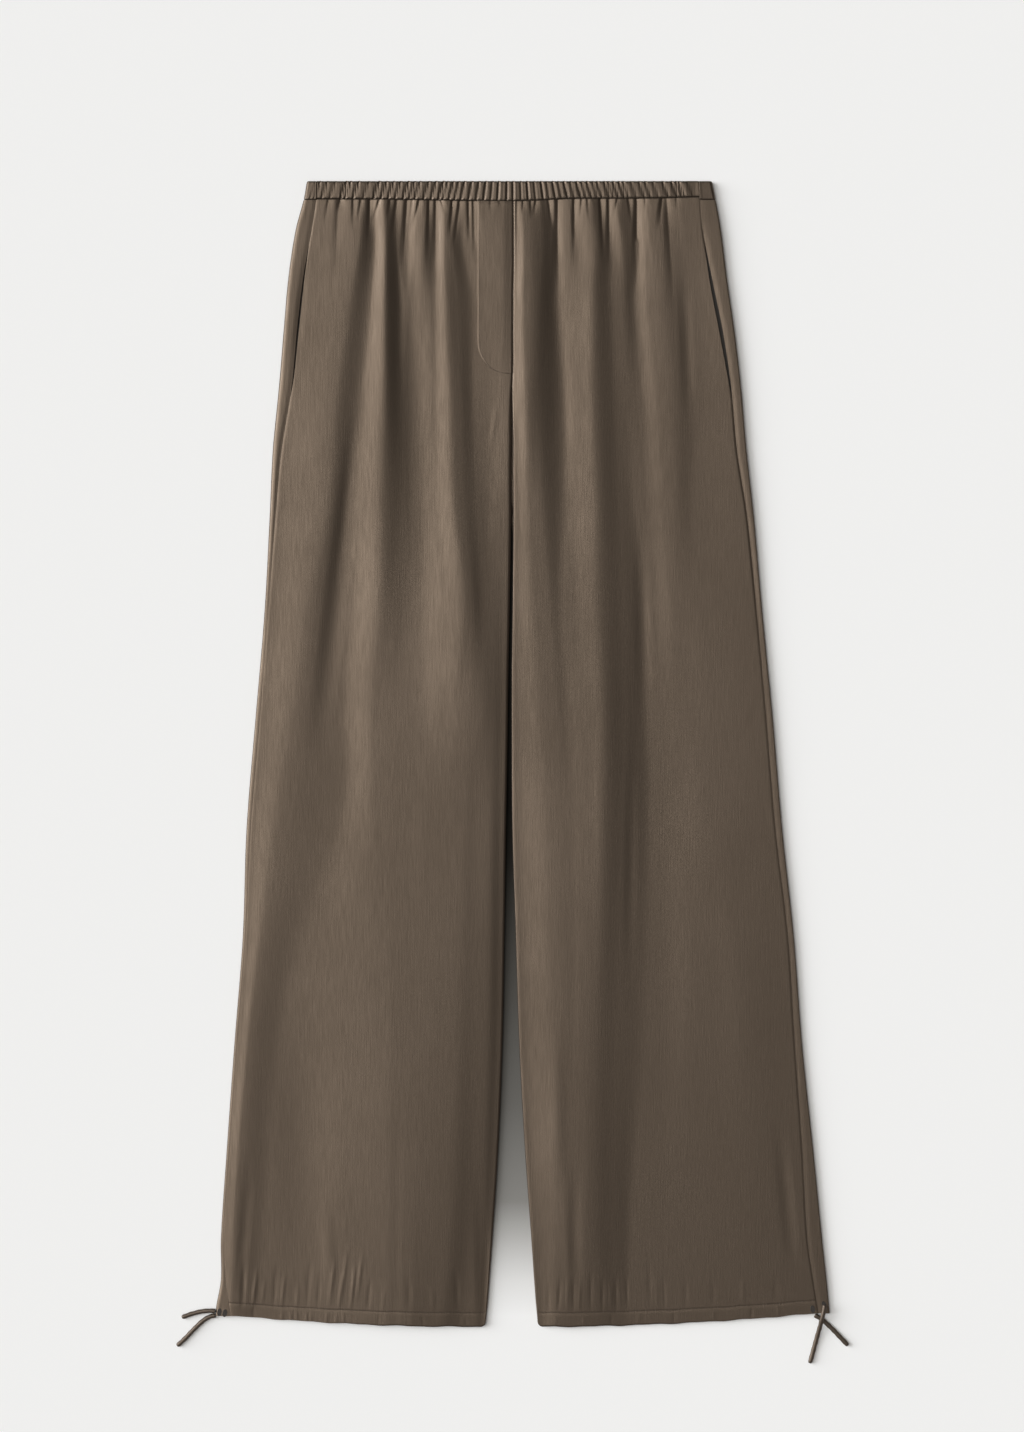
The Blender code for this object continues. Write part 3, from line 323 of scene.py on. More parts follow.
# Creases across the elastic casing: where each crosses its middle, and how deep it is
Pinch = namedtuple("Pinch", "x depth")
BAND_CREASES = (
    Pinch(-188.0, 0.6), Pinch(-184.6, 0.7), Pinch(-180.6, 0.8), Pinch(-173.6, 0.5), Pinch(-166.0, 0.25),
    Pinch(-156.0, 1.3), Pinch(-151.9, 0.8), Pinch(-144.5, 0.9), Pinch(-135.0, 0.3), Pinch(-125.5, 1.2),
    Pinch(-118.5, 0.7), Pinch(-112.0, 0.8), Pinch(-105.6, 0.6), Pinch(-98.2, 1.1), Pinch(-92.6, 0.5),
    Pinch(-87.4, 0.8), Pinch(-79.3, 0.7), Pinch(-72.4, 0.9), Pinch(-65.7, 1.3), Pinch(-61.6, 0.6),
    Pinch(-56.1, 0.8), Pinch(-51.0, 0.6), Pinch(-45.4, 0.9), Pinch(-38.5, 0.8), Pinch(-31.7, 0.7),
    Pinch(-25.0, 0.9), Pinch(-18.8, 0.5), Pinch(-12.7, 0.9), Pinch(-4.6, 1.1), Pinch(1.1, 0.9),
    Pinch(8.3, 0.5), Pinch(14.7, 1.3), Pinch(21.3, 0.5), Pinch(28.2, 1.2), Pinch(33.3, 0.4),
    Pinch(39.2, 1.0), Pinch(44.4, 0.4), Pinch(50.0, 1.2), Pinch(56.0, 0.4), Pinch(62.0, 1.1),
    Pinch(66.7, 0.5), Pinch(71.8, 1.0), Pinch(76.9, 0.4), Pinch(81.3, 1.0), Pinch(88.0, 0.8),
    Pinch(91.7, 0.5), Pinch(96.3, 1.1), Pinch(101.7, 1.2), Pinch(105.6, 0.8), Pinch(113.0, 0.3),
    Pinch(120.4, 0.6), Pinch(126.0, 0.6), Pinch(133.3, 0.3), Pinch(142.4, 0.8), Pinch(150.6, 1.0),
    Pinch(154.6, 0.6), Pinch(157.4, 0.8), Pinch(165.0, 0.3),
)
LEFT_CALM = 0.28         # by this share the left half's creases are shallower
CALM_FROM_MIDDLE = 20.0
GATHER_SLANT = 0.34
SLANT_SPREAD = 60.0
CREASE_BEFORE, CREASE_PAST = 0.75, 1.2          # how far a crease's two flanks spread
LIP_SHARE, LIP_AWAY = 0.18, 1.9                 # the lip that stands up beside a crease
PUFF = 0.3               # how far the cloth puffs up between two creases
WHOLE_PUFF = 9.0         # as much as this apart; closer together it puffs up less
LEAST_PUFF = 0.3
BAND_WALL = 2.4
BAND_SIDE_RADIUS = 3.1
BAND_SPACE = 0.34
BAND_END_GAP = 0.26      # between the back casing's ends and the side seams
BAND_SQUARE = (0.25, 0.7)       # how square the section is, down its depth and through its wall
RELIEF_FROM = 0.35       # share of the wall's thickness from which the gathers stand out
END_CALM = 0.012         # share of the length over which they fade at the ends
END_START = -0.2
EDGE_WAVE = 0.35         # how the gathers draw the casing's top edge in and out
MEAN_RELIEF = 0.6
EDGE_SHARE = 0.08
# Shares of the back casing's half-length: flat up to the first, round the side up to the second
BACK_FLAT_TO, BACK_TURNED_AT = 0.6, 0.84
BACK_GATHERED, BACK_CALM_FROM = (0.62, 0.8), 0.96
BACK_RELIEF = 0.5

# The pocket mouths and the mock fly
MOUTH_TOP = 60.0
MOUTH_BOTTOM = 200.0
MOUTH_OPENING = {"right": 1.7, "left": 3.4}
MOUTH_FULLNESS = 0.6
BAG_TOP, BAG_BOTTOM = 56.0, 285.0
BAG_INNER = 122.0        # from the fold at the side
CLEAR_OF_BAG = 3.85      # the least height of the cloth's outer face over a bag
CLEAR_FADES = (10.0, 40.0, 12.0)        # above the bag, below it and beside it
CLEAR_SOFTNESS = 0.2
FLY_WIDTH = 32.0
FLY_BEND = 148.0
FLY_END = 178.0
FLY_TIP = 5.0
FLY_CLOTH = 0.3
FLY_LIFT = 0.35
FLY_RIM_DROP = 0.25
FLY_RIM = (32, 60)       # the rim is one part of so many, across and down

# The drawstrings' free ends: (x, down, height of its middle)
TIE_DIAMETER = 3.6
TIE_TIP, TIE_TIP_SHARE = 1.2, 0.35      # the end is rounded over this length, down to this share
TIE_RIPPLE, TIE_RIPPLE_TURN = 0.05, 0.9
TIE_SEAM_DEPTH, TIE_SEAM_AT, TIE_SEAM_WIDTH = 0.16, 0.5, 0.22
FLOOR_RUN = TIE_DIAMETER / 2 + 0.1
TIES = {
    "tie_right_upper": (
        (-275.1, 1047.0, 3.2), (-281.0, 1046.7, 3.0), (-289.0, 1047.6, 2.4),
        (-298.0, 1050.0, FLOOR_RUN), (-306.0, 1053.0, FLOOR_RUN)),
    "tie_right_lower": (
        (-275.1, 1051.3, FLOOR_RUN), (-280.0, 1052.2, FLOOR_RUN), (-286.2, 1055.8, FLOOR_RUN),
        (-294.4, 1063.4, FLOOR_RUN), (-303.0, 1072.4, FLOOR_RUN), (-310.4, 1079.4, FLOOR_RUN)),
    "tie_left_upper": (
        (289.6, 1041.0, 6.6), (288.4, 1047.5, 6.6), (287.0, 1053.8, 6.1),
        (285.0, 1062.5, 4.2), (282.6, 1071.5, 2.6), (279.8, 1082.0, FLOOR_RUN), (276.2, 1095.4, FLOOR_RUN)),
    "tie_left_lower": (
        (280.8, 1050.9, FLOOR_RUN), (287.9, 1055.4, FLOOR_RUN), (296.4, 1063.2, FLOOR_RUN),
        (304.2, 1071.4, FLOOR_RUN), (311.4, 1079.0, FLOOR_RUN)),
}

# The worked holes that the drawstrings come out of, turn being in degrees
Hole = namedtuple("Hole", "x down turn")
HOLES = {
    "right": (Hole(-271.0, 1047.8, 80.0), Hole(-266.0, 1048.6, 80.0)),
    "left": (Hole(289.2, 1041.0, 110.0), Hole(278.6, 1045.0, 100.0)),
}
HOLE_LENGTH = 6.2
HOLE_WIDTH = 3.6
HOLE_SHADE_PLUG = 0.3          # thickness of the dark plug that fills a hole, as painted shade
HOLE_ROLL = 2.4          # radius of its stitched edge, in threads

# The topstitching
STITCH_GAP = 0.25        # in stitches
STITCH_SIDES = 6
HEM_STITCHED = (0.02, 0.985)    # shares of the way from the inner edge to the side seam
HEM_STITCH_ENDS = (1048.0, 1040.0)
HEM_STITCH_LIFT = 0.02
FLY_STITCHED = (BAND_DEPTH + 1, FLY_END - 0.6)
FLY_STITCH_IN = 0.06     # share of the fly's width
FLY_STITCH_LIFT = 0.42
HEM_STITCH_POINTS, FLY_STITCH_POINTS = 260, 200

# How finely the cloth is divided
FRONT_COLUMNS = 126
ROLL_COLUMNS = 8
SEAM_COLUMNS = 14
SEAM_STRIP = 11.0
GATHERED_TO = 108.0
GATHERED_ROWS = 60
LEG_ROWS = 140
HEM_FROM = 985.0
HEM_LINE_FROM, HEM_LINE_TO = 1045.5, 1051.5
HEM_LEAD_ROWS, HEM_LINE_ROWS, HEM_EDGE_ROWS = 40, 12, 12
HEM_ROWS = HEM_LEAD_ROWS + HEM_LINE_ROWS + HEM_EDGE_ROWS
BACK_COLUMNS = 64
BACK_ROWS = 190
# Shares of a back's columns: round the inner edge, flat, round the side, then the lap on top
BACK_INNER, BACK_FLAT, BACK_SIDE = 0.125, 0.5, 0.75
FRONT_BAND_STATIONS, BACK_BAND_STATIONS = 900, 420
BAND_SIDES = 28
FLY_COLUMNS, FLY_ROWS = 40, 120
HOLE_SIDES = (28, 8, 20, 8)     # round the edge, round its roll, and of the plug of painted shade
TIE_STEPS = 10           # between two of its own points
TIE_SIDES = 16
SAME_ROW = 1e-6
OUT_OF_REACH = 99.0      # of the roll at the side
ROW_CROWDING = 1.5       # rows lie closer together at the waist seam
FLY_CROWDING = 1.4       # and at the fly's end
SHARP_ANGLE = 50.0       # faces that meet at more than this have a sharp edge

# The photograph's frame: one scale, and the point that the camera looks down on
MM_PER_PIXEL = 0.926
IMAGE_SIZE = (1024, 1432)
IMAGE_CENTRE = (512, 716)
SEAM_PIXEL = 512
WAIST_PIXEL = 181
CAMERA_HEIGHT = 3.4
SCALE_HEIGHT = 0.006     # of the cloth that the scale holds for
SENSOR = 36.0
SIGHT = 100.0

# The deep shade on the floor in the gap between the legs: where it starts and ends down the
# garment, and how much light is left at shares of the way. Its two ends come first.
SHADE_FROM = 230.0
SHADE_TO = 1052.0
SHADE_HALF_WIDTH = 34.0
SHADE_SOFT_EDGE = 1.4
SHADE_POWERS = (1.0, 1.02, 1.06)        # red, green and blue: the deeper, the warmer
Shade = namedtuple("Shade", "place light")
FLOOR_SHADE = (
    Shade(0.0, 1.0), Shade(1.0, 1.0), Shade(0.03, 0.03), Shade(0.2, 0.028), Shade(0.3, 0.02),
    Shade(0.42, 0.012), Shade(0.48, 0.02), Shade(0.53, 0.044), Shade(0.64, 0.087),
    Shade(0.76, 0.145), Shade(0.87, 0.26), Shade(0.91, 0.5), Shade(0.96, 0.83),
)
FLOOR_SIZE = 40.0

# The lights: azimuth is where each stands, anticlockwise from +X
Sun = namedtuple("Sun", "name azimuth elevation strength angle colour")
SUNS = (
    Sun("key", 166, 24, 3.3, 44, (0.97, 0.985, 1.0)),
    Sun("overhead", 165, 67, 1.31, 40, (1.0, 0.985, 0.95)),
    Sun("fill", -30, 40, 0.1, 60, (1.0, 0.97, 0.93)),
)
SUN_DISTANCE = 3.0
SKY_COLOUR = (1.0, 0.97, 0.93, 1)
SKY_STRENGTH = 0.115

# How each cloth takes the light
Finish = namedtuple("Finish", "roughness sheen relief lustre")
SATIN = Finish(0.46, 0.12, 0.35, 0.85)
ROULEAU = Finish(0.5, 0.12, 0.35, 0.7)
LINING = Finish(0.75, 0.05, 0.3, 0.0)
THREAD = Finish(0.55, 0.1, 0.2, 0.3)
SHEEN_ROUGHNESS = 0.4
SHEEN_TINT = (0.95, 0.85, 0.76, 1)
CLOTH_IOR = 1.5
WEAVE_HEIGHT = 0.0002

# The weave: streaks of floats, slow drifts of shade and the grain
Noise = namedtuple("Noise", "scale_x scale_y scale detail")
STREAKS = Noise(40, 1.6, 28, 4)
DRIFT = Noise(1.0, 0.6, 9, 2)
GRAIN = Noise(6, 2.2, 420, 2)
STREAK_SHARE = 0.55
DRIFT_SHARE = 0.45
WEAVE_RANGE = (0.36, 0.62)
FLOAT_GLOSS = -0.12      # what the floats add to the roughness


class TrouserSizes(bpy.types.PropertyGroup):
    """Sizes of the cloth and of its sewing."""

    cloth: FloatProperty(
        name="Cloth", description="Thickness of a panel with its turned edges",
        default=0.0009, min=0.0003, max=0.002, unit="LENGTH")
    gather_relief: FloatProperty(
        name="Gather relief", description="How far the waistband's gathers stand out",
        default=0.00095, min=0.0, max=0.003, unit="LENGTH")
    stitch: FloatProperty(
        name="Stitch", description="Length of one stitch of the topstitching",
        default=0.0024, min=0.001, max=0.006, unit="LENGTH")
    thread: FloatProperty(
        name="Thread", description="Radius of the sewing thread",
        default=0.00013, min=0.00005, max=0.0005, unit="LENGTH")
    tie_width: FloatProperty(
        name="Drawstring width", description="Width of the rouleau drawstring",
        default=0.0042, min=0.002, max=0.008, unit="LENGTH")
    tie_thickness: FloatProperty(
        name="Drawstring thickness", description="Thickness of the rouleau drawstring",
        default=0.0029, min=0.001, max=0.006, unit="LENGTH")


class TrouserColours(bpy.types.PropertyGroup):
    """Colours of the cloth, the thread and the stage."""

    satin: FloatVectorProperty(
        name="Satin", description="The satin's colour on its raised floats",
        subtype="COLOR", default=(0.1145, 0.0868, 0.065), min=0, max=1)
    satin_deep: FloatVectorProperty(
        name="Satin, deep", description="The satin's colour between its floats",
        subtype="COLOR", default=(0.099, 0.0742, 0.0545), min=0, max=1)
    # Darker than the legs' satin though it is the same cloth: painted shade for the gathered casing
    waistband: FloatVectorProperty(
        name="Waistband", description="The satin of the gathered casing, which looks deeper",
        subtype="COLOR", default=(0.0945, 0.0715, 0.0535), min=0, max=1)
    tie: FloatVectorProperty(
        name="Drawstring", description="The drawstrings' satin",
        subtype="COLOR", default=(0.108, 0.084, 0.066), min=0, max=1)
    # Near-black: the pocket bags' own cloth, darkened as painted shade for the pocket mouths and the
    # buttonholes
    lining_painted_shade: FloatVectorProperty(
        name="Lining", description="The pocket bags' cloth",
        subtype="COLOR", default=(0.026, 0.020, 0.016), min=0, max=1)
    thread: FloatVectorProperty(
        name="Thread", description="The sewing thread",
        subtype="COLOR", default=(0.09, 0.068, 0.052), min=0, max=1)
    floor: FloatVectorProperty(
        name="Floor", description="The pale surface under the trousers",
        subtype="COLOR", default=(0.93, 0.93, 0.93), min=0, max=1)


def sizes():
    return bpy.context.scene.trouser_sizes


def colours():
    return bpy.context.scene.trouser_colours


def share(start, end, value):
    """0 before start, 1 past end, and an even rise between."""
    return np.clip((value - start) / (end - start), 0.0, 1.0)


def smoothstep(start, end, value):
    """0 before start, 1 past end, and a smooth rise between."""
    t = share(start, end, value)
    return t * t * (3 - 2 * t)


def hump(q):
    """A soft bump: 1 at q = 0, and 0 from q = 1 outwards."""
    return np.clip(1 - q * q, 0, 1) ** 2


def arch(q):
    """A quarter circle: 1 at q = 0, and 0 at q = 1."""
    return np.sqrt(1 - q ** 2)


def dent(groove, past):
    """How much of a groove's depth there is at a distance past its seam."""
    return np.exp(-(past / np.where(past < 0, groove.before, groove.past)) ** 2)


def knot_to_knot(low, high, low_slope, high_slope, span, t):
    """The smooth curve from one knot to the next, t being the share of the way."""
    return (
        low * (1 + 2 * t) * (1 - t) ** 2
        + high * t * t * (3 - 2 * t)
        + low_slope * span * t * (1 - t) ** 2
        - high_slope * span * t * t * (1 - t))


def smooth_curve(knots, values, down):
    """Values at places down the garment, on a smooth curve through those at the knots."""
    knots, values = np.array(knots, float), np.array(values, float)
    number = np.arange(len(knots))
    before, after = np.maximum(number - 1, 0), np.minimum(number + 1, len(knots) - 1)
    slopes = (values[after] - values[before]) / (knots[after] - knots[before])
    cell = np.clip(np.searchsorted(knots, down, side="right") - 1, 0, len(knots) - 2)
    span = knots[cell + 1] - knots[cell]
    t = (down - knots[cell]) / span
    return knot_to_knot(values[cell], values[cell + 1], slopes[cell], slopes[cell + 1], span, t)


def along(table, column, down):
    """A table's column at places down the garment."""
    return smooth_curve([row.down for row in table], [getattr(row, column) for row in table], down)


def through(start, middle, end, t):
    """The curve through three values at t = 0, 1/2 and 1."""
    return start * (1 - t) * (1 - 2 * t) + middle * 4 * t * (1 - t) + end * t * (2 * t - 1)


def fold_height(lines, out, down, first, last):
    """Height of the upper face between the fold lines. first and last are the distance and
    the height of the two edges. The slope is level on a crest and in a trough."""
    outs = [smooth_curve(FOLD_DOWN, line.outs, down) for line in lines]
    heights = [smooth_curve(FOLD_DOWN, line.heights, down) for line in lines]
    outs = np.stack([first[0], *outs, last[0]])
    heights = np.stack([first[1], *heights, last[1]])
    outs = np.maximum.accumulate(outs + LEAST_SPACE * np.arange(len(outs))[:, None], axis=0)
    steps = np.diff(heights, axis=0) / np.diff(outs, axis=0)
    product = steps[:-1] * steps[1:]
    bends = np.where(product > 0, 2 * product / np.where(product > 0, steps[:-1] + steps[1:], 1), 0)
    level = np.zeros((1, bends.shape[1]))
    slopes = np.concatenate([level, bends, level])
    cell = np.clip((out[None, :] >= outs).sum(axis=0) - 1, 0, len(outs) - 2)
    place = np.arange(len(out))
    low, high = (cell, place), (cell + 1, place)
    span = outs[high] - outs[low]
    t = np.clip((out - outs[low]) / span, 0, 1)
    return knot_to_knot(heights[low], heights[high], slopes[low], slopes[high], span, t)


def gather_depth(gathers, x, down):
    """Troughs that start at the waist seam, each steep on one flank."""
    total = np.zeros_like(x)
    for gather in gathers:
        t = share(0, gather.reach, down - BAND_DEPTH)
        line = gather.x + gather.lean * t
        flank = np.where(x < line, STEEP_SPREAD, EASY_SPREAD)
        power = np.where(x < line, STEEP_POWER, EASY_POWER)
        spread = gather.half_width * (GATHER_START + GATHER_WIDENS * t) * flank
        fade = (1 - t) ** GATHER_FADE * smoothstep(*GATHER_ONSET, t)
        total += gather.depth * fade * np.clip(1 - np.abs(x - line) / spread, 0, 1) ** power
    return total


def crease_height(creases, x, down):
    """Soft troughs and ridges: each fades out at its ends."""
    total = np.zeros_like(x)
    for crease in creases:
        t = share(crease.start, crease.end, down)
        line = through(crease.x_start, crease.x_middle, crease.x_end, t)
        total += crease.height * hump((x - line) / crease.half_width) * hump(2 * t - 1)
    return total


def stroke_height(strokes, x, down):
    """Short puckers: each fades out at its ends."""
    total = np.zeros_like(x)
    for stroke in strokes:
        t = share(stroke.start, stroke.end, down)
        fade = (4 * t * (1 - t)) ** STROKE_FADE
        beside = (x - stroke.x - stroke.lean * t) / stroke.half_width
        total += STROKE_HEIGHT * stroke.height * hump(beside) * fade
    return total


def clear_of_bag(height, down, from_side):
    """Keeps the cloth's troughs above the pocket bag that lies under it."""
    above, below, beside = CLEAR_FADES
    over_bag = smoothstep(BAG_TOP - above, BAG_TOP, down)
    over_bag = over_bag * (1 - smoothstep(BAG_BOTTOM, BAG_BOTTOM + below, down))
    lowest = CLEAR_OF_BAG * over_bag * (1 - smoothstep(BAG_INNER, BAG_INNER + beside, from_side))
    spare = height - lowest
    return lowest + (spare + np.sqrt(spare ** 2 + CLEAR_SOFTNESS ** 2)) / 2


class Leg:
    """One leg: side is -1 for the wearer's right leg and +1 for the left."""

    def __init__(self, side):
        self.side = side
        self.word = "right" if side < 0 else "left"

    def edge(self, down):
        return along(SECTIONS, self.word + "_edge", down)

    def seam(self, down):
        return along(SECTIONS, self.word + "_seam", down)

    def inner(self, down):
        return along(SECTIONS, self.word + "_inner", down)

    def radius(self, down):
        return along(ROLLS, "radius", down)

    def inner_height(self, down):
        return along(ROLLS, self.word + "_height", down)

    def mouth(self, down):
        """How far the pocket mouth stands open."""
        along_mouth = share(MOUTH_TOP, MOUTH_BOTTOM, down)
        return MOUTH_OPENING[self.word] * np.sin(math.pi * along_mouth) ** MOUTH_FULLNESS

    def slant(self, across, down):
        """The hem slants up towards the side."""
        return down - HEM_LIFT[self.word] * across * across * smoothstep(SLANT_FROM, OUTSEAM, down)

    def hem_line(self, x, down):
        """Where the hem's stitching lies, at a distance across the leg."""
        inner = self.inner(down)
        across = np.clip(np.abs(x - inner) / np.abs(self.edge(down) - inner), 0, 1)
        return OUTSEAM - HEM_DEPTH - HEM_LIFT[self.word] * across * across

    def stray(self, x, down):
        """Lets the hem's edge lie a little wavy, with round corners at the inner edge."""
        near = smoothstep(HEM_WAVE_FROM, HEM_DEPTH, down - self.hem_line(x, down))
        waves = HEM_WAVE * sum(wave.share * np.sin(x / wave.length + wave.start) for wave in HEM_WAVES)
        corner = 1 - share(0, CORNER_RADIUS, np.abs(x - self.inner(down)))
        return down + near * (waves - CORNER_RADIUS * (1 - arch(corner)))

    def top(self, x, down, from_inner, from_side):
        """Height of the upper face, from_inner and from_side being the distances from the
        leg's inner edge and from the fold at its side."""
        radius = self.radius(down)
        side_reach = SIDE_ROUNDING[self.word] * radius
        inner_reach = INNER_ROUNDING[self.word] * radius
        opening = smoothstep(FLY_SEAM_END, FLY_SEAM_DIP, down)
        inner_height = CENTRE_HEIGHT + (self.inner_height(down) - CENTRE_HEIGHT) * opening
        first = (self.side * self.inner(down) + INNER_REACH * opening, inner_height)
        last = (self.side * self.edge(down) - side_reach, 2 * radius)
        height = fold_height(FOLD_LINES[self.word], self.side * x, down, first, last)
        detail = crease_height(CREASES[self.word], x, down)
        detail -= gather_depth(GATHERS[self.word], x, down)
        detail += stroke_height(HEM_STROKES[self.word], x, down)
        in_roll, whole = DETAIL_FADE
        height += detail * smoothstep(radius - in_roll, whole, from_side)
        height = clear_of_bag(height, down, from_side)
        height -= HEM_GROOVE.depth * dent(HEM_GROOVE, down - self.hem_line(x, down))
        rolled_side = radius + radius * arch(1 - share(0, side_reach, from_side))
        height = np.where(from_side < side_reach, rolled_side, height)
        rolled_in = inner_height / 2 * (1 + arch(1 - share(0, inner_reach, from_inner)))
        lower = np.minimum(height, rolled_in) - height
        height = height + lower * opening * (from_inner < inner_reach)
        return height - self.side_groove(down, from_side, radius) - self.seam_grooves(down, from_inner)

    def side_groove(self, down, from_side, radius):
        """Depth of the groove along the side seam."""
        lap = np.abs(self.edge(down) - self.seam(down))
        depth = SIDE_GROOVE.depth - SHALLOWER_BELOW * smoothstep(*BELOW_POCKET, down)
        depth = depth - SHALLOWER_ABOVE[self.word] * (1 - smoothstep(*ABOVE_POCKET, down))
        start, whole = SIDE_GROOVE_FADE
        inwards = smoothstep(start * radius, whole * radius, from_side)
        return depth * dent(SIDE_GROOVE, lap - from_side) * inwards

    def seam_grooves(self, down, from_inner):
        """Depth of the grooves at the waist seam and along the closed centre front seam."""
        closed = 1 - smoothstep(FLY_SEAM_END, FLY_SEAM_DIP, down)
        waist = WAIST_GROOVE.depth * dent(WAIST_GROOVE, np.clip(down - BAND_DEPTH, 0, None))
        return waist + CENTRE_GROOVE.depth * dent(CENTRE_GROOVE, from_inner) * closed

    def front_inner(self, down):
        """Where the front starts, half a gap from the leg's inner edge."""
        return self.inner(down) + self.side * SEAM_GAP / 2

    def front_width(self, down):
        """From the front's inner edge to the side seam, or to the pocket mouth."""
        return np.abs(self.seam(down) - self.front_inner(down)) - SEAM_GAP / 2 - self.mouth(down)

    def front(self, u, down):
        """The front's outer face: u runs from the inner edge to the side seam."""
        roll, strip = ROLL_COLUMNS / FRONT_COLUMNS, 1 - SEAM_COLUMNS / FRONT_COLUMNS
        rounded = INNER_ROUNDING[self.word] * self.radius(down)
        width = self.front_width(down)
        turn = QUARTER_TURN * share(0, roll, u)
        across = np.select([u < roll, u < strip], [
            rounded * (1 - np.cos(turn)),
            rounded + (width - SEAM_STRIP - rounded) * (u - roll) / (strip - roll),
        ], width - SEAM_STRIP * (1 - u) / (1 - strip))
        down = self.slant(across / width, down)
        across = across * self.front_width(down) / width
        lift = SEAM_GAP / 2 * (1 - np.sin(turn)) * smoothstep(FLY_SEAM_END, FLY_SEAM_DIP, down)
        x = self.front_inner(down) + self.side * across
        from_side = np.abs(self.edge(down) - x)
        return x, down, self.top(x, down, across, from_side) + lift

    def back(self, w, down):
        """The back's outer face: w runs from the inner edge along the surface, round the fold
        at the side, and up to the side seam."""
        down = self.slant(share(0, BACK_FLAT, w), down)
        radius = self.radius(down)
        closed = 1 - smoothstep(RISE, RISE + CROTCH_REACH, down)
        middle = (RIGHT_LEG.inner(down) + LEFT_LEG.inner(down)) / 2
        inner = self.inner(down) * (1 - closed) + middle * closed + self.side * SEAM_GAP / 2
        edge = self.edge(down)
        width = np.abs(edge - inner)
        rise = self.inner_height(down) / 2
        first = QUARTER_TURN * (1 - share(0, BACK_INNER, w))
        second = QUARTER_TURN * share(BACK_FLAT, BACK_SIDE, w)
        lap = np.abs(edge - self.seam(down)) - SEAM_GAP / 2
        from_side = lap * (1 - np.cos(QUARTER_TURN * share(BACK_SIDE, 1, w)))
        lapped = edge - self.side * from_side
        regions = [w < BACK_INNER, w < BACK_FLAT, w < BACK_SIDE]
        rounded = INNER_ROUNDING[self.word] * radius
        reach = SIDE_ROUNDING[self.word] * radius
        across = np.select(regions, [
            rounded * (1 - np.sin(first)),
            rounded + (width - reach - rounded) * (w - BACK_INNER) / (BACK_FLAT - BACK_INNER),
            width - reach + reach * np.sin(second)], width - from_side)
        height = np.select(regions, [
            (rise * (1 - np.cos(first)) - SEAM_GAP / 2 * np.sin(first)) * (1 - closed),
            np.zeros_like(w),
            radius * (1 - np.cos(second))], self.top(lapped, down, width - from_side, from_side))
        return inner + self.side * across, down, height


RIGHT_LEG, LEFT_LEG = Leg(-1), Leg(1)


def waist_dip(x, down):
    """How far the cloth of the front lies lower than on a straight waist seam."""
    sag = np.interp(x, [dip.x for dip in WAIST_DIPS], [dip.sag for dip in WAIST_DIPS])
    return sag * smoothstep(0, BAND_DEPTH, down) * (1 - smoothstep(BAND_DEPTH, DIP_FADES_AT, down))


def seam_bend(x, down):
    """How far the cloth beside the centre front seam lies further over than on a straight seam."""
    shift = np.interp(down, [bend.down for bend in SEAM_BENDS], [bend.shift for bend in SEAM_BENDS])
    return shift * (1 - smoothstep(*BEND_REACH, np.abs(x)))


def world(x, down, height):
    """Points of the garment, in millimetres, as metres in the frame."""
    return np.stack([x - MIDDLE_X, MIDDLE_DOWN - down, height + np.zeros_like(x)], axis=-1) * MM


def grid(name, columns, rows, fine_rows=0, fine_end=0):
    """A flat grid, with the shares across and down of each of its vertices. In its first
    fine_rows and its last fine_end rows it has twice as many columns."""
    bm = bmesh.new()
    bmesh.ops.create_grid(bm, x_segments=columns, y_segments=rows, size=0.5)
    if fine_rows:
        first, last = 0.5 - (fine_rows + 0.5) / rows, (fine_end + 0.5) / rows - 0.5
        across = [
            e for e in bm.edges
            if abs(e.verts[0].co.y - e.verts[1].co.y) < SAME_ROW
            and not last < e.verts[0].co.y < first
        ]
        bmesh.ops.subdivide_edges(bm, edges=across, cuts=1)
    mesh = bpy.data.meshes.new(name)
    bm.to_mesh(mesh)
    bm.free()
    flat = np.zeros(len(mesh.vertices) * 3, np.float32)
    mesh.vertices.foreach_get("co", flat)
    flat = flat.reshape(-1, 3).astype(float)
    return mesh, np.clip(flat[:, 0] + 0.5, 0, 1), np.clip(0.5 - flat[:, 1], 0, 1)


def set_points(mesh, points):
    mesh.vertices.foreach_set("co", points.astype(np.float32).ravel())
    mesh.update()


def add_piece(name, mesh, material):
    obj = bpy.data.objects.new(name, mesh)
    bpy.context.scene.collection.objects.link(obj)
    mesh.materials.clear()
    mesh.materials.append(material)
    mesh.shade_smooth()
    return obj


def thicken(obj, thickness, flip):
    """Gives an open surface its thickness, inwards from its outer face, as its own plain mesh."""
    if flip:
        obj.data.flip_normals()
    wall = obj.modifiers.new("thickness", "SOLIDIFY")
    wall.thickness = thickness
    wall.offset = -1
    graph = bpy.context.evaluated_depsgraph_get()
    mesh = bpy.data.meshes.new_from_object(obj.evaluated_get(graph))
    surface = obj.data
    obj.modifiers.clear()
    obj.data = mesh
    bpy.data.meshes.remove(surface)
    mesh.name = obj.name
    mesh.shade_smooth()
    mesh.set_sharp_from_angle(angle=math.radians(SHARP_ANGLE))


def finish_piece(obj, slot, *nodes):
    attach(obj, BODY)
    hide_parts(*nodes)


def rows_down():
    """The rows of a front, close together at the gathers and at the hem."""
    crowded = np.linspace(0, 1, GATHERED_ROWS, endpoint=False) ** ROW_CROWDING
    return np.concatenate([
        CLOTH_TOP + (GATHERED_TO - CLOTH_TOP) * crowded,
        np.linspace(GATHERED_TO, HEM_FROM, LEG_ROWS, endpoint=False),
        np.linspace(HEM_FROM, HEM_LINE_FROM, HEM_LEAD_ROWS, endpoint=False),
        np.linspace(HEM_LINE_FROM, HEM_LINE_TO, HEM_LINE_ROWS, endpoint=False),
        np.linspace(HEM_LINE_TO, CLOTH_END, HEM_EDGE_ROWS + 1)])


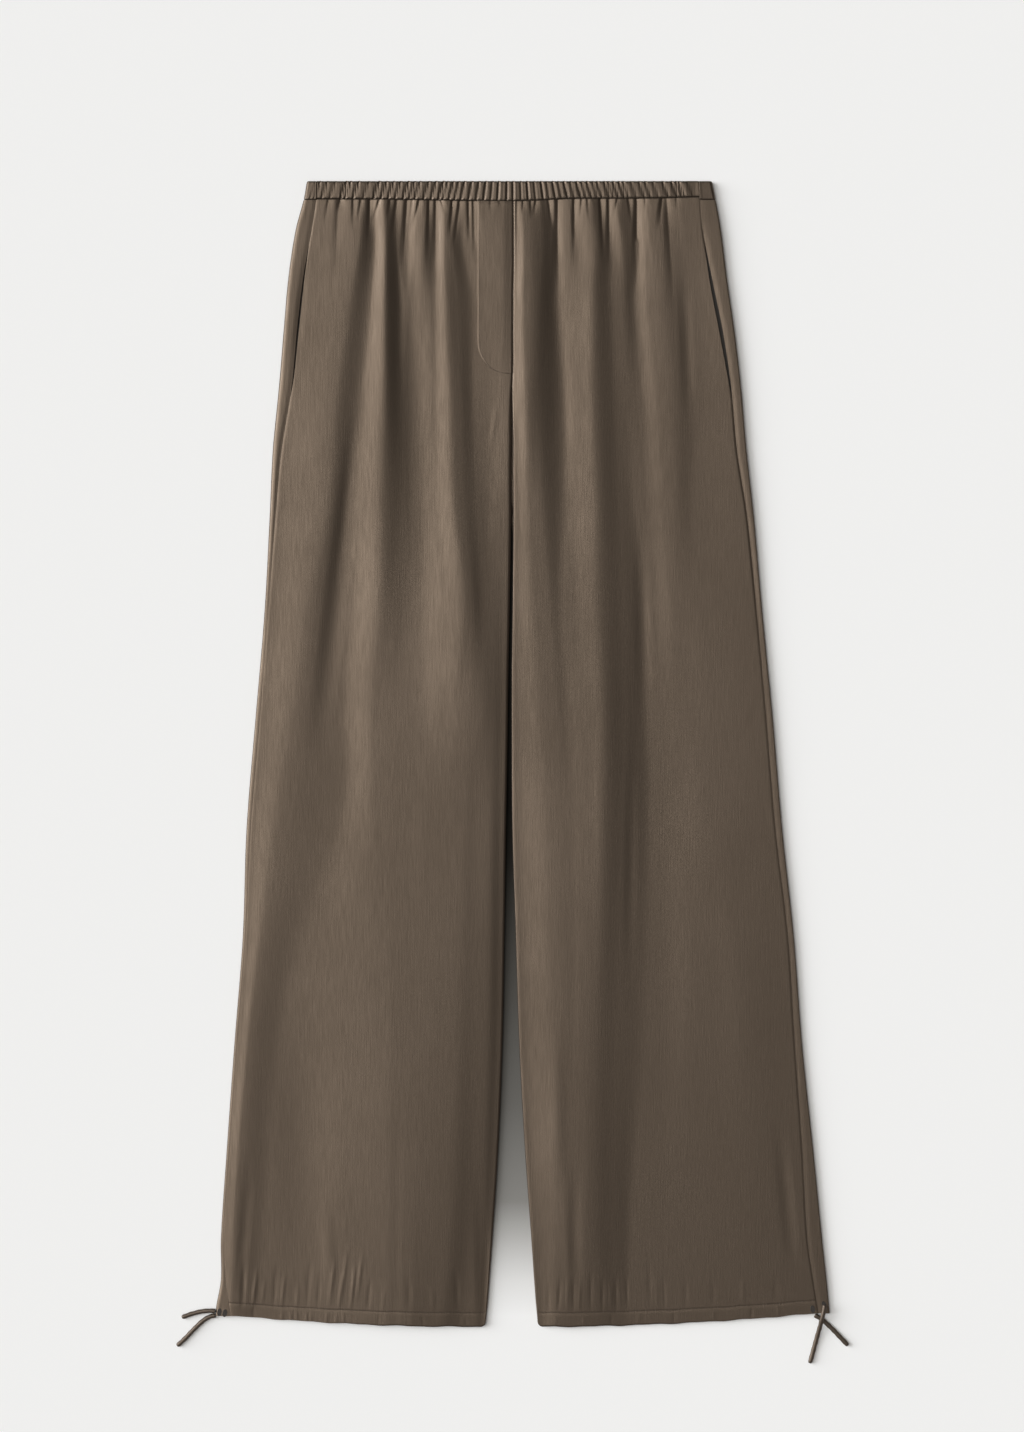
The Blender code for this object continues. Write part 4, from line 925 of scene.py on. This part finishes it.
def build_front(leg):
    """A front panel, laid over the leg's back."""
    rows = rows_down()
    name = "satin_front_" + leg.word
    mesh, u, v = grid(name, FRONT_COLUMNS, len(rows) - 1, GATHERED_ROWS, HEM_ROWS)
    down = np.interp(v * (len(rows) - 1), np.arange(len(rows)), rows)
    x, down, height = leg.front(u, down)
    hem_edge = leg.hem_line(x, down) + HEM_DEPTH
    height = height - HEM_ROLL_DROP * (1 - arch(share(hem_edge - HEM_ROLL, hem_edge, down)))
    down = leg.stray(x, down)
    dip = waist_dip(x, down)
    beside_seam = 1 - smoothstep(0, BESIDE_SEAM, np.abs(leg.seam(down) - x))
    x = x + beside_seam * (leg.seam(down + dip) - leg.seam(down))
    down = down + dip
    set_points(mesh, world(x + seam_bend(x, down), down, height))
    obj = add_piece(name, mesh, satin_material())
    thicken(obj, sizes().cloth, flip=leg.side < 0)
    finish_piece(obj, "satin", "front_" + leg.word)
    return obj


def build_back(leg):
    """A back panel: flat on the surface, and turned up round the leg's side and inner edge."""
    name = "satin_back_" + leg.word
    mesh, w, v = grid(name, BACK_COLUMNS, BACK_ROWS)
    x, down, height = leg.back(w, CLOTH_TOP + (CLOTH_END - CLOTH_TOP) * v)
    set_points(mesh, world(x + seam_bend(x, down), leg.stray(x, down), height))
    obj = add_piece(name, mesh, satin_material())
    thicken(obj, sizes().cloth, flip=leg.side > 0)
    finish_piece(obj, "satin", "back_" + leg.word)
    return obj


def band_relief(x, down):
    """Height of the casing's gathers over its plain face, below 0 in a crease."""
    lean = -GATHER_SLANT * np.tanh(x / SLANT_SPREAD)
    across = x - lean * (BAND_DEPTH / 2 - down)
    places = np.array([pinch.x for pinch in BAND_CREASES])
    depths = np.array([pinch.depth for pinch in BAND_CREASES])
    cell = np.clip(np.searchsorted(places, across) - 1, 0, len(places) - 2)
    span = places[cell + 1] - places[cell]
    t = np.clip((across - places[cell]) / span, 0, 1)
    past_one = t < 0.5
    near = np.where(past_one, depths[cell], depths[cell + 1])
    away = np.where(past_one, t, 1 - t) * span
    crease = near * np.exp(-(away / np.where(past_one, CREASE_PAST, CREASE_BEFORE)) ** 2)
    lip = LIP_SHARE * near * np.exp(-(away - LIP_AWAY) ** 2)
    return PUFF * 4 * t * (1 - t) * np.clip(span / WHOLE_PUFF, LEAST_PUFF, 1) + lip - crease


def band_points(start, stations):
    """Stations along the casing, from start to 1, each with the points of its section: their
    shares of the length, of the depth and of the wall's thickness."""
    turn = np.linspace(0, 2 * math.pi, BAND_SIDES, endpoint=False)
    down_power, wall_power = BAND_SQUARE
    across = np.sign(np.cos(turn)) * np.abs(np.cos(turn)) ** down_power
    outwards = np.sign(np.sin(turn)) * np.abs(np.sin(turn)) ** wall_power
    length_share = np.repeat(np.linspace(start, 1, stations), BAND_SIDES)
    return length_share, np.tile(0.5 - 0.5 * across, stations), np.tile(0.5 + 0.5 * outwards, stations)


def closed_sweep(name, points, section):
    """A closed tube of quads with a cap at each end, its points in rows of one section."""
    bm = bmesh.new()
    verts = [[bm.verts.new(point) for point in row] for row in points.reshape(-1, section, 3).tolist()]
    for one, two in zip(verts, verts[1:]):
        for k in range(section):
            after = (k + 1) % section
            bm.faces.new((one[k], one[after], two[after], two[k]))
    bm.faces.new(verts[0][::-1])
    bm.faces.new(verts[-1])
    bm.normal_update()
    bmesh.ops.recalc_face_normals(bm, faces=bm.faces[:])
    mesh = bpy.data.meshes.new(name)
    bm.to_mesh(mesh)
    bm.free()
    return mesh


def add_band(node, points):
    name = node + "_satin"
    obj = add_piece(name, closed_sweep(name, points, BAND_SIDES), casing_satin_painted_shade_material())
    finish_piece(obj, "waistband", node)


def build_band_front():
    """The front of the elastic casing, with its gathers."""
    s, depth_share, wall_share = band_points(0, FRONT_BAND_STATIONS)
    down = BAND_DEPTH * depth_share
    start = RIGHT_LEG.seam(down) + SEAM_GAP / 2
    end = LEFT_LEG.seam(down) - SEAM_GAP / 2
    x = start + (end - start) * s
    relief = band_relief(x, down) * sizes().gather_relief / MM
    relief = relief * (1 - LEFT_CALM * smoothstep(-CALM_FROM_MIDDLE, CALM_FROM_MIDDLE, x))
    relief = relief * smoothstep(END_START, 1, share(0, END_CALM, np.minimum(s, 1 - s)))
    upper = np.clip(wall_share - RELIEF_FROM, 0, None) / (1 - RELIEF_FROM)
    height = BAND_WALL + BAND_SPACE + BAND_WALL * wall_share + relief * upper
    drawn_in = EDGE_WAVE * (relief - MEAN_RELIEF) * (0.5 - depth_share) * 2
    down = down + drawn_in * (depth_share < EDGE_SHARE)
    points = world(x, down + waist_dip(x, down), height)
    add_band("waistband_front", points)


def build_band_back():
    """The back of the casing, turned up round both sides to the side seams."""
    s, depth_share, wall_share = band_points(-1, BACK_BAND_STATIONS)
    down = BAND_DEPTH * depth_share
    left = s > 0
    edge = np.where(left, LEFT_LEG.edge(down), RIGHT_LEG.edge(down))
    seam = np.where(left, LEFT_LEG.seam(down), RIGHT_LEG.seam(down))
    side = np.where(left, 1.0, -1.0)
    w = np.abs(s)
    radius = BAND_SIDE_RADIUS
    turning = edge - side * radius
    turn = math.pi * share(BACK_FLAT_TO, BACK_TURNED_AT, w)
    reach = np.clip(np.abs(turning - seam) - BAND_END_GAP, 0, None) * share(BACK_TURNED_AT, 1, w)
    turned = turning + side * radius * np.sin(turn) - side * reach
    line_x = np.where(w < BACK_FLAT_TO, turning * w / BACK_FLAT_TO, turned)
    line_z = radius * (1 - np.cos(turn))
    inward_x, inward_z = -side * np.sin(turn), np.cos(turn)
    gathered = smoothstep(*BACK_GATHERED, w) * smoothstep(1, BACK_CALM_FROM, w)
    relief = BACK_RELIEF * band_relief(line_x, down) * gathered
    depth = BAND_WALL * (1 - wall_share) - relief * np.clip(wall_share - RELIEF_FROM, 0, None)
    points = world(line_x + inward_x * depth, down, line_z + inward_z * depth)
    add_band("waistband_back", points)


def fly_points(u, down, lift):
    """Points over the right front where the mock fly lies, u running to the centre seam."""
    width = FLY_WIDTH + (FLY_TIP - FLY_WIDTH) * (1 - arch(share(FLY_BEND, FLY_END, down)))
    x = -SEAM_GAP / 2 - width * (1 - u)
    height = RIGHT_LEG.top(x, down, np.abs(x), np.full_like(x, OUT_OF_REACH)) + lift
    return world(x + seam_bend(x, down), down + waist_dip(x, down), height)


def build_fly():
    """The mock fly, stitched down over the right front."""
    mesh, u, v = grid("mock_fly_satin", FLY_COLUMNS, FLY_ROWS)
    down = CLOTH_TOP + (FLY_END - BAND_DEPTH) * (1 - (1 - v) ** FLY_CROWDING)
    rim_across, rim_down = FLY_RIM
    rim = np.minimum(1.0, np.minimum(u * rim_across, (1 - v) * rim_down))
    set_points(mesh, fly_points(u, down, FLY_LIFT - FLY_RIM_DROP * (1 - np.sqrt(rim))))
    obj = add_piece("mock_fly_satin", mesh, satin_material())
    thicken(obj, FLY_CLOTH * MM, flip=False)
    finish_piece(obj, "satin", "mock_fly")


def build_hole(leg, number, hole):
    """A buttonhole's edge: a ring of close stitches on the casing, round a dark plug of painted shade that
    fills the hole.
    """
    from_side = np.abs(leg.edge(hole.down) - hole.x)
    place = [np.array([value]) for value in (hole.x, hole.down, OUT_OF_REACH, from_side)]
    edge_sides, roll_sides, plug_sides, plug_rings = HOLE_SIDES
    bpy.ops.mesh.primitive_torus_add(
        major_radius=HOLE_WIDTH / 2 * MM, minor_radius=sizes().thread * HOLE_ROLL,
        major_segments=edge_sides, minor_segments=roll_sides)
    obj = bpy.context.active_object
    obj.name = obj.data.name = "buttonhole_%s_%d" % (leg.word, number)
    bm = bmesh.new()
    bm.from_mesh(obj.data)
    # The plug is painted shade: a flat dark ellipsoid where the hole opens into the casing
    plug = Matrix.Diagonal((HOLE_WIDTH / 2, HOLE_WIDTH / 2, HOLE_SHADE_PLUG / 2, 1))
    bmesh.ops.create_uvsphere(bm, u_segments=plug_sides, v_segments=plug_rings, radius=MM, matrix=plug)
    bm.to_mesh(obj.data)
    bm.free()
    move = Matrix.Translation(world(hole.x, hole.down, leg.top(*place)[0]))
    spin = Matrix.Rotation(math.radians(hole.turn), 4, "Z")
    obj.data.transform(move @ spin @ Matrix.Diagonal((HOLE_LENGTH / HOLE_WIDTH, 1, 1, 1)))
    obj.data.materials.append(lining_painted_shade_material())
    obj.data.shade_smooth()
    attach(obj, BODY)


def tie_route(points):
    """A smooth line through a tie's own points, in metres."""
    nodes = [Vector(p) for p in points]
    nodes = [2 * nodes[0] - nodes[1]] + nodes + [2 * nodes[-1] - nodes[-2]]
    line = []
    for before, a, b, after in zip(nodes, nodes[1:], nodes[2:], nodes[3:]):
        for step in range(TIE_STEPS):
            t = step / TIE_STEPS
            line.append(
                0.5 * (2 * a + (b - before) * t + (2 * before - 5 * a + 4 * b - after) * t ** 2
                       + (3 * a - before - 3 * b + after) * t ** 3))
    line.append(nodes[-2])
    return world(*np.array(line).T)


def build_tie(name, points):
    """A free end of a hem's drawstring: a narrow tube of satin, pressed a little flat."""
    line = tie_route(points)
    tangents = np.gradient(line, axis=0)
    tangents /= np.linalg.norm(tangents, axis=1)[:, None]
    sideways = np.cross(tangents, (0, 0, 1.0))
    sideways /= np.linalg.norm(sideways, axis=1)[:, None]
    upwards = np.cross(sideways, tangents)
    turn = np.linspace(0, 2 * math.pi, TIE_SIDES, endpoint=False)
    length = np.concatenate([[0], np.cumsum(np.linalg.norm(np.diff(line, axis=0), axis=1))])
    end = np.clip((length[-1] - length) / (TIE_TIP * MM), TIE_TIP_SHARE, 1) ** 0.5
    ripple = 1 + TIE_RIPPLE * np.sin(length / MM * TIE_RIPPLE_TURN)
    wide = sizes().tie_width / 2 * end * ripple
    thick = sizes().tie_thickness / 2 * end
    ring = (
        sideways[:, None, :] * (np.cos(turn) * wide[:, None])[..., None]
        + upwards[:, None, :] * (np.sin(turn) * thick[:, None])[..., None])
    seam = 1 - TIE_SEAM_DEPTH * np.exp(-((turn - TIE_SEAM_AT) / TIE_SEAM_WIDTH) ** 2)
    mesh = closed_sweep(name + "_satin", line[:, None, :] + ring * seam[None, :, None], TIE_SIDES)
    obj = add_piece(name + "_satin", mesh, tie_material())
    finish_piece(obj, "tie", name)


def add_node(tree, kind, inputs, **settings):
    """Adds a node and gives its outputs. Each input is a value, or the output of another node."""
    node = tree.nodes.new(kind)
    for name, value in settings.items():
        setattr(node, name, value)
    for name, value in inputs.items():
        if isinstance(value, bpy.types.NodeSocket):
            tree.links.new(value, node.inputs[name])
        else:
            node.inputs[name].default_value = value
    return node.outputs


def maths(tree, operation, *values):
    return add_node(tree, "ShaderNodeMath", dict(enumerate(values)), operation=operation)[0]


def ranged(tree, start, end, value):
    """Evenly from 0 at start to 1 at end."""
    inputs = {"From Min": start, "From Max": end, "Value": value}
    return add_node(tree, "ShaderNodeMapRange", inputs)["Result"]


def mixed(tree, blend, factor, one, two):
    """A mix of two colours."""
    inputs = {"Factor": factor, 6: one, 7: two}
    return add_node(tree, "ShaderNodeMix", inputs, data_type="RGBA", blend_type=blend)[2]


def new_material(name):
    material = bpy.data.materials.new(name)
    material.use_nodes = True
    return material


def woven_group():
    """Shader group: satin's floats as fine upright streaks, with slow drifts of shade."""
    group = bpy.data.node_groups.get("woven satin")
    if group:
        return group
    group = bpy.data.node_groups.new("woven satin", "ShaderNodeTree")
    colour, value = "NodeSocketColor", "NodeSocketFloat"
    for name, kind in (("Float Colour", colour), ("Deep Colour", colour), ("Roughness", value)):
        group.interface.new_socket(name, in_out="INPUT", socket_type=kind)
    for name, kind in (("Colour", colour), ("Roughness", value), ("Height", value)):
        group.interface.new_socket(name, in_out="OUTPUT", socket_type=kind)
    given = add_node(group, "NodeGroupInput", {})
    place = add_node(group, "ShaderNodeTexCoord", {})["Object"]

    def noise(look):
        scale = (look.scale_x, look.scale_y, 1)
        mapping = add_node(group, "ShaderNodeMapping", {"Vector": place, "Scale": scale})
        inputs = {"Vector": mapping["Vector"], "Scale": look.scale, "Detail": look.detail}
        return add_node(group, "ShaderNodeTexNoise", inputs)["Fac"]

    streaks = noise(STREAKS)
    drift = maths(group, "MULTIPLY", noise(DRIFT), DRIFT_SHARE)
    floats = ranged(group, *WEAVE_RANGE, maths(group, "MULTIPLY_ADD", streaks, STREAK_SHARE, drift))
    add_node(group, "NodeGroupOutput", {
        "Colour": mixed(group, "MIX", floats, given["Deep Colour"], given["Float Colour"]),
        "Roughness": maths(group, "MULTIPLY_ADD", floats, FLOAT_GLOSS, given["Roughness"]),
        "Height": maths(group, "ADD", streaks, noise(GRAIN))})
    return group


def cloth_material(name, float_colour, deep_colour, finish):
    """A cloth with its weave, made once and used by every piece of that cloth."""
    if name in bpy.data.materials:
        return bpy.data.materials[name]
    material = new_material(name)
    tree = material.node_tree
    shader = tree.nodes["Principled BSDF"]
    woven = tree.nodes.new("ShaderNodeGroup")
    woven.node_tree = woven_group()
    woven.inputs["Float Colour"].default_value = (*float_colour, 1)
    woven.inputs["Deep Colour"].default_value = (*deep_colour, 1)
    woven.inputs["Roughness"].default_value = finish.roughness
    relief = {"Strength": finish.relief, "Distance": WEAVE_HEIGHT, "Height": woven.outputs["Height"]}
    bump = add_node(tree, "ShaderNodeBump", relief)
    tree.links.new(woven.outputs["Colour"], shader.inputs["Base Color"])
    tree.links.new(woven.outputs["Roughness"], shader.inputs["Roughness"])
    tree.links.new(bump["Normal"], shader.inputs["Normal"])
    shader.inputs["Sheen Weight"].default_value = finish.sheen
    shader.inputs["Sheen Roughness"].default_value = SHEEN_ROUGHNESS
    shader.inputs["Sheen Tint"].default_value = SHEEN_TINT
    shader.inputs["IOR"].default_value = CLOTH_IOR
    shader.inputs["Metallic"].default_value = finish.lustre
    return material


def satin_material():
    return cloth_material("woven satin", colours().satin, colours().satin_deep, SATIN)


# The legs' satin drawn darker, as painted shade for the gathered casing
def casing_satin_painted_shade_material():
    return cloth_material("casing satin", colours().waistband, colours().waistband, SATIN)


def tie_material():
    return cloth_material("rouleau satin", colours().tie, colours().satin_deep, ROULEAU)


# The pocket bags' cloth, darkened to near-black as painted shade; the buttonholes take it too
def lining_painted_shade_material():
    return cloth_material("pocket lining", colours().lining_painted_shade, colours().lining_painted_shade, LINING)


def thread_material():
    return cloth_material("sewing thread", colours().thread, colours().thread, THREAD)


def stitch_tree():
    """Geometry Nodes: a row of stitches along a curve, each a short rounded thread."""
    tree = bpy.data.node_groups.get("stitch row")
    if tree:
        return tree
    tree = bpy.data.node_groups.new("stitch row", "GeometryNodeTree")
    for name, kind in (
            ("Geometry", "NodeSocketGeometry"), ("Stitch", "NodeSocketFloat"), ("Gap", "NodeSocketFloat"),
            ("Thread", "NodeSocketFloat"), ("Material", "NodeSocketMaterial")):
        tree.interface.new_socket(name, in_out="INPUT", socket_type=kind)
    tree.interface.new_socket("Geometry", in_out="OUTPUT", socket_type="NodeSocketGeometry")
    given = add_node(tree, "NodeGroupInput", {})
    pitch = maths(tree, "ADD", given["Stitch"], given["Gap"])
    row = add_node(
        tree, "GeometryNodeResampleCurve", {"Curve": given["Geometry"], "Length": pitch}, mode="LENGTH")
    thread = add_node(tree, "GeometryNodeMeshCylinder", {
        "Vertices": STITCH_SIDES, "Side Segments": 2, "Radius": given["Thread"], "Depth": given["Stitch"]})
    tangent = add_node(tree, "GeometryNodeInputTangent", {})["Tangent"]
    turn = add_node(tree, "FunctionNodeAlignRotationToVector", {"Vector": tangent}, axis="Z")
    stitches = add_node(tree, "GeometryNodeInstanceOnPoints", {
        "Points": row["Curve"], "Instance": thread["Mesh"], "Rotation": turn["Rotation"]})
    real = add_node(tree, "GeometryNodeRealizeInstances", {"Geometry": stitches["Instances"]})
    finished = add_node(tree, "GeometryNodeSetMaterial", {
        "Geometry": real["Geometry"], "Material": given["Material"]})
    add_node(tree, "NodeGroupOutput", {"Geometry": finished["Geometry"]})
    return tree


def stitch_row(name, points):
    """A row of stitches along points of the cloth."""
    curve = bpy.data.curves.new(name + "_line", "CURVE")
    curve.dimensions = "3D"
    spline = curve.splines.new("POLY")
    spline.points.add(len(points) - 1)
    for point, place in zip(spline.points, points):
        point.co = (*place, 1)
    line = bpy.data.objects.new(name + "_line", curve)
    bpy.context.scene.collection.objects.link(line)
    tree = stitch_tree()
    modifier = line.modifiers.new("stitches", "NODES")
    modifier.node_group = tree
    values = {
        "Stitch": sizes().stitch, "Gap": sizes().stitch * STITCH_GAP, "Thread": sizes().thread,
        "Material": thread_material()}
    for item in tree.interface.items_tree:
        if item.item_type == "SOCKET" and item.in_out == "INPUT" and item.name in values:
            modifier[item.identifier] = values[item.name]
    graph = bpy.context.evaluated_depsgraph_get()
    mesh = bpy.data.meshes.new_from_object(line.evaluated_get(graph))
    bpy.data.objects.remove(line)
    obj = add_piece(name, mesh, thread_material())
    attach(obj, BODY)


def stitch_hem(leg):
    """The row of stitches that holds a hem's turn-up."""
    inner_down, outer_down = HEM_STITCH_ENDS
    inner, outer = leg.inner(inner_down), leg.seam(outer_down)
    x = inner + (outer - inner) * np.linspace(*HEM_STITCHED, HEM_STITCH_POINTS)
    down = leg.hem_line(x, np.full_like(x, inner_down))
    from_inner, from_side = np.abs(x - leg.inner(down)), np.abs(leg.edge(down) - x)
    height = leg.top(x, down, from_inner, from_side) + HEM_STITCH_LIFT
    stitch_row("hem_stitches_" + leg.word, world(x, leg.stray(x, down), height))


def stitch_fly():
    """The row of stitches just inside the fly's curved edge."""
    down = np.linspace(*FLY_STITCHED, FLY_STITCH_POINTS)
    stitch_row("fly_stitches", fly_points(np.full_like(down, FLY_STITCH_IN), down, FLY_STITCH_LIFT))


class TROUSERS_OT_panels(bpy.types.Operator):
    """Builds the four satin panels of the legs"""

    bl_idname = "trousers.panels"
    bl_label = "Satin panels"

    def execute(self, context):
        for leg in (RIGHT_LEG, LEFT_LEG):
            front = build_front(leg)
            back = build_back(leg)
        return {"FINISHED"}


class TROUSERS_OT_waistband(bpy.types.Operator):
    """Builds the gathered elastic casing, front and back"""

    bl_idname = "trousers.waistband"
    bl_label = "Waistband"

    def execute(self, context):
        build_band_front()
        build_band_back()
        return {"FINISHED"}


class TROUSERS_OT_fly(bpy.types.Operator):
    """Builds the mock fly"""

    bl_idname = "trousers.fly"
    bl_label = "Mock fly"

    def execute(self, context):
        build_fly()
        return {"FINISHED"}


class TROUSERS_OT_pockets(bpy.types.Operator):
    """Gives the pocket bags their near-black cloth, painted shade for the pocket mouths"""

    bl_idname = "trousers.pockets"
    bl_label = "Pocket bags"

    def execute(self, context):
        for word in ("right", "left"):
            bag = frame["nodes"]["pocket_bag_" + word]
            bag.data.materials.clear()
            bag.data.materials.append(lining_painted_shade_material())
        return {"FINISHED"}


class TROUSERS_OT_ties(bpy.types.Operator):
    """Builds the free ends of the hems' drawstrings"""

    bl_idname = "trousers.ties"
    bl_label = "Drawstring ends"

    def execute(self, context):
        for name, points in TIES.items():
            build_tie(name, points)
        return {"FINISHED"}


class TROUSERS_OT_stitching(bpy.types.Operator):
    """Sews the hems and the mock fly, and works the buttonholes"""

    bl_idname = "trousers.stitching"
    bl_label = "Stitching"

    def execute(self, context):
        for leg in (RIGHT_LEG, LEFT_LEG):
            stitch_hem(leg)
            for number, hole in enumerate(HOLES[leg.word]):
                build_hole(leg, number, hole)
        stitch_fly()
        return {"FINISHED"}


def add_sun(sun):
    """A far, soft light."""
    light = bpy.data.lights.new(sun.name, "SUN")
    light.energy = sun.strength
    light.angle = math.radians(sun.angle)
    light.color = sun.colour
    obj = bpy.data.objects.new(sun.name, light)
    a, e = math.radians(sun.azimuth), math.radians(sun.elevation)
    towards = Vector((math.cos(a) * math.cos(e), math.sin(a) * math.cos(e), math.sin(e)))
    obj.rotation_euler = towards.to_track_quat("Z", "Y").to_euler()
    obj.location = towards * SUN_DISTANCE
    bpy.context.scene.collection.objects.link(obj)


def floor_material():
    """The pale floor, darker where the photograph has deep shade in the gap between the legs."""
    material = new_material("pale floor")
    tree = material.node_tree
    place = add_node(tree, "ShaderNodeTexCoord", {})["Object"]
    split = add_node(tree, "ShaderNodeSeparateXYZ", {"Vector": place})
    top, bottom = (MIDDLE_DOWN - SHADE_FROM) * MM, (MIDDLE_DOWN - SHADE_TO) * MM
    ramp = tree.nodes.new("ShaderNodeValToRGB")
    stops = ramp.color_ramp.elements
    for number, shade in enumerate(FLOOR_SHADE):
        stop = stops[number] if number < 2 else stops.new(shade.place)
        stop.position = shade.place
        stop.color = (*(shade.light ** power for power in SHADE_POWERS), 1)
    tree.links.new(ranged(tree, top, bottom, split["Y"]), ramp.inputs["Fac"])
    distance = maths(tree, "ABSOLUTE", maths(tree, "ADD", split["X"], MIDDLE_X * MM))
    half_width = SHADE_HALF_WIDTH * MM
    outside = ranged(tree, half_width, SHADE_SOFT_EDGE * half_width, distance)
    gap = mixed(tree, "MIX", outside, ramp.outputs["Color"], (1, 1, 1, 1))
    shader = tree.nodes["Principled BSDF"]
    tone = mixed(tree, "MULTIPLY", 1.0, gap, (*colours().floor, 1))
    tree.links.new(tone, shader.inputs["Base Color"])
    shader.inputs["Roughness"].default_value = 0.9
    shader.inputs["Specular IOR Level"].default_value = 0.1
    return material


def add_camera(scene):
    """Looks straight down, at the photograph's scale and place."""
    camera = bpy.data.cameras.new("camera")
    camera.sensor_width = SENSOR
    camera.lens = SENSOR * CAMERA_HEIGHT / (IMAGE_SIZE[1] * MM_PER_PIXEL * MM)
    camera.clip_end = SIGHT
    eye = bpy.data.objects.new("camera", camera)
    x = (IMAGE_CENTRE[0] - SEAM_PIXEL) * MM_PER_PIXEL - MIDDLE_X
    y = MIDDLE_DOWN - (IMAGE_CENTRE[1] - WAIST_PIXEL) * MM_PER_PIXEL
    eye.location = (x * MM, y * MM, CAMERA_HEIGHT + SCALE_HEIGHT)
    scene.collection.objects.link(eye)
    scene.camera = eye


class TROUSERS_OT_stage(bpy.types.Operator):
    """Lays the pale floor and sets the lights and the camera"""

    bl_idname = "trousers.stage"
    bl_label = "Stage"

    def execute(self, context):
        scene = context.scene
        bpy.ops.mesh.primitive_plane_add(size=FLOOR_SIZE)
        floor = context.active_object
        floor.name = "floor"
        floor.data.materials.append(floor_material())
        sky = bpy.data.worlds.new("studio")
        sky.use_nodes = True
        background = sky.node_tree.nodes["Background"]
        background.inputs["Color"].default_value = SKY_COLOUR
        background.inputs["Strength"].default_value = SKY_STRENGTH
        scene.world = sky
        for sun in SUNS:
            add_sun(sun)
        scene.view_settings.view_transform = "Standard"
        add_camera(scene)
        return {"FINISHED"}


class TROUSERS_PT_panel(bpy.types.Panel):
    """Lists the trousers' sizes, colours and steps"""

    bl_label = "Trousers"
    bl_idname = "TROUSERS_PT_panel"
    bl_space_type = "VIEW_3D"
    bl_region_type = "UI"
    bl_category = "Trousers"

    def draw(self, context):
        layout = self.layout
        for group in (context.scene.trouser_sizes, context.scene.trouser_colours):
            for name in group.__annotations__:
                layout.prop(group, name)
        for operator in OPERATORS:
            layout.operator(operator.bl_idname)


OPERATORS = (
    TROUSERS_OT_stage,
    TROUSERS_OT_ties,
    TROUSERS_OT_panels,
    TROUSERS_OT_waistband,
    TROUSERS_OT_fly,
    TROUSERS_OT_pockets,
    TROUSERS_OT_stitching,
)
CLASSES = (TrouserSizes, TrouserColours, *OPERATORS, TROUSERS_PT_panel)


def register():
    for cls in CLASSES:
        bpy.utils.register_class(cls)
    bpy.types.Scene.trouser_sizes = PointerProperty(type=TrouserSizes)
    bpy.types.Scene.trouser_colours = PointerProperty(type=TrouserColours)


def unregister():
    del bpy.types.Scene.trouser_colours
    del bpy.types.Scene.trouser_sizes
    for cls in reversed(CLASSES):
        bpy.utils.unregister_class(cls)


def main():
    register()
    bpy.ops.trousers.stage()
    bpy.ops.trousers.ties()
    bpy.ops.trousers.panels()
    bpy.ops.trousers.waistband()
    bpy.ops.trousers.fly()
    bpy.ops.trousers.pockets()
    bpy.ops.trousers.stitching()


if __name__ == "__main__":
    main()
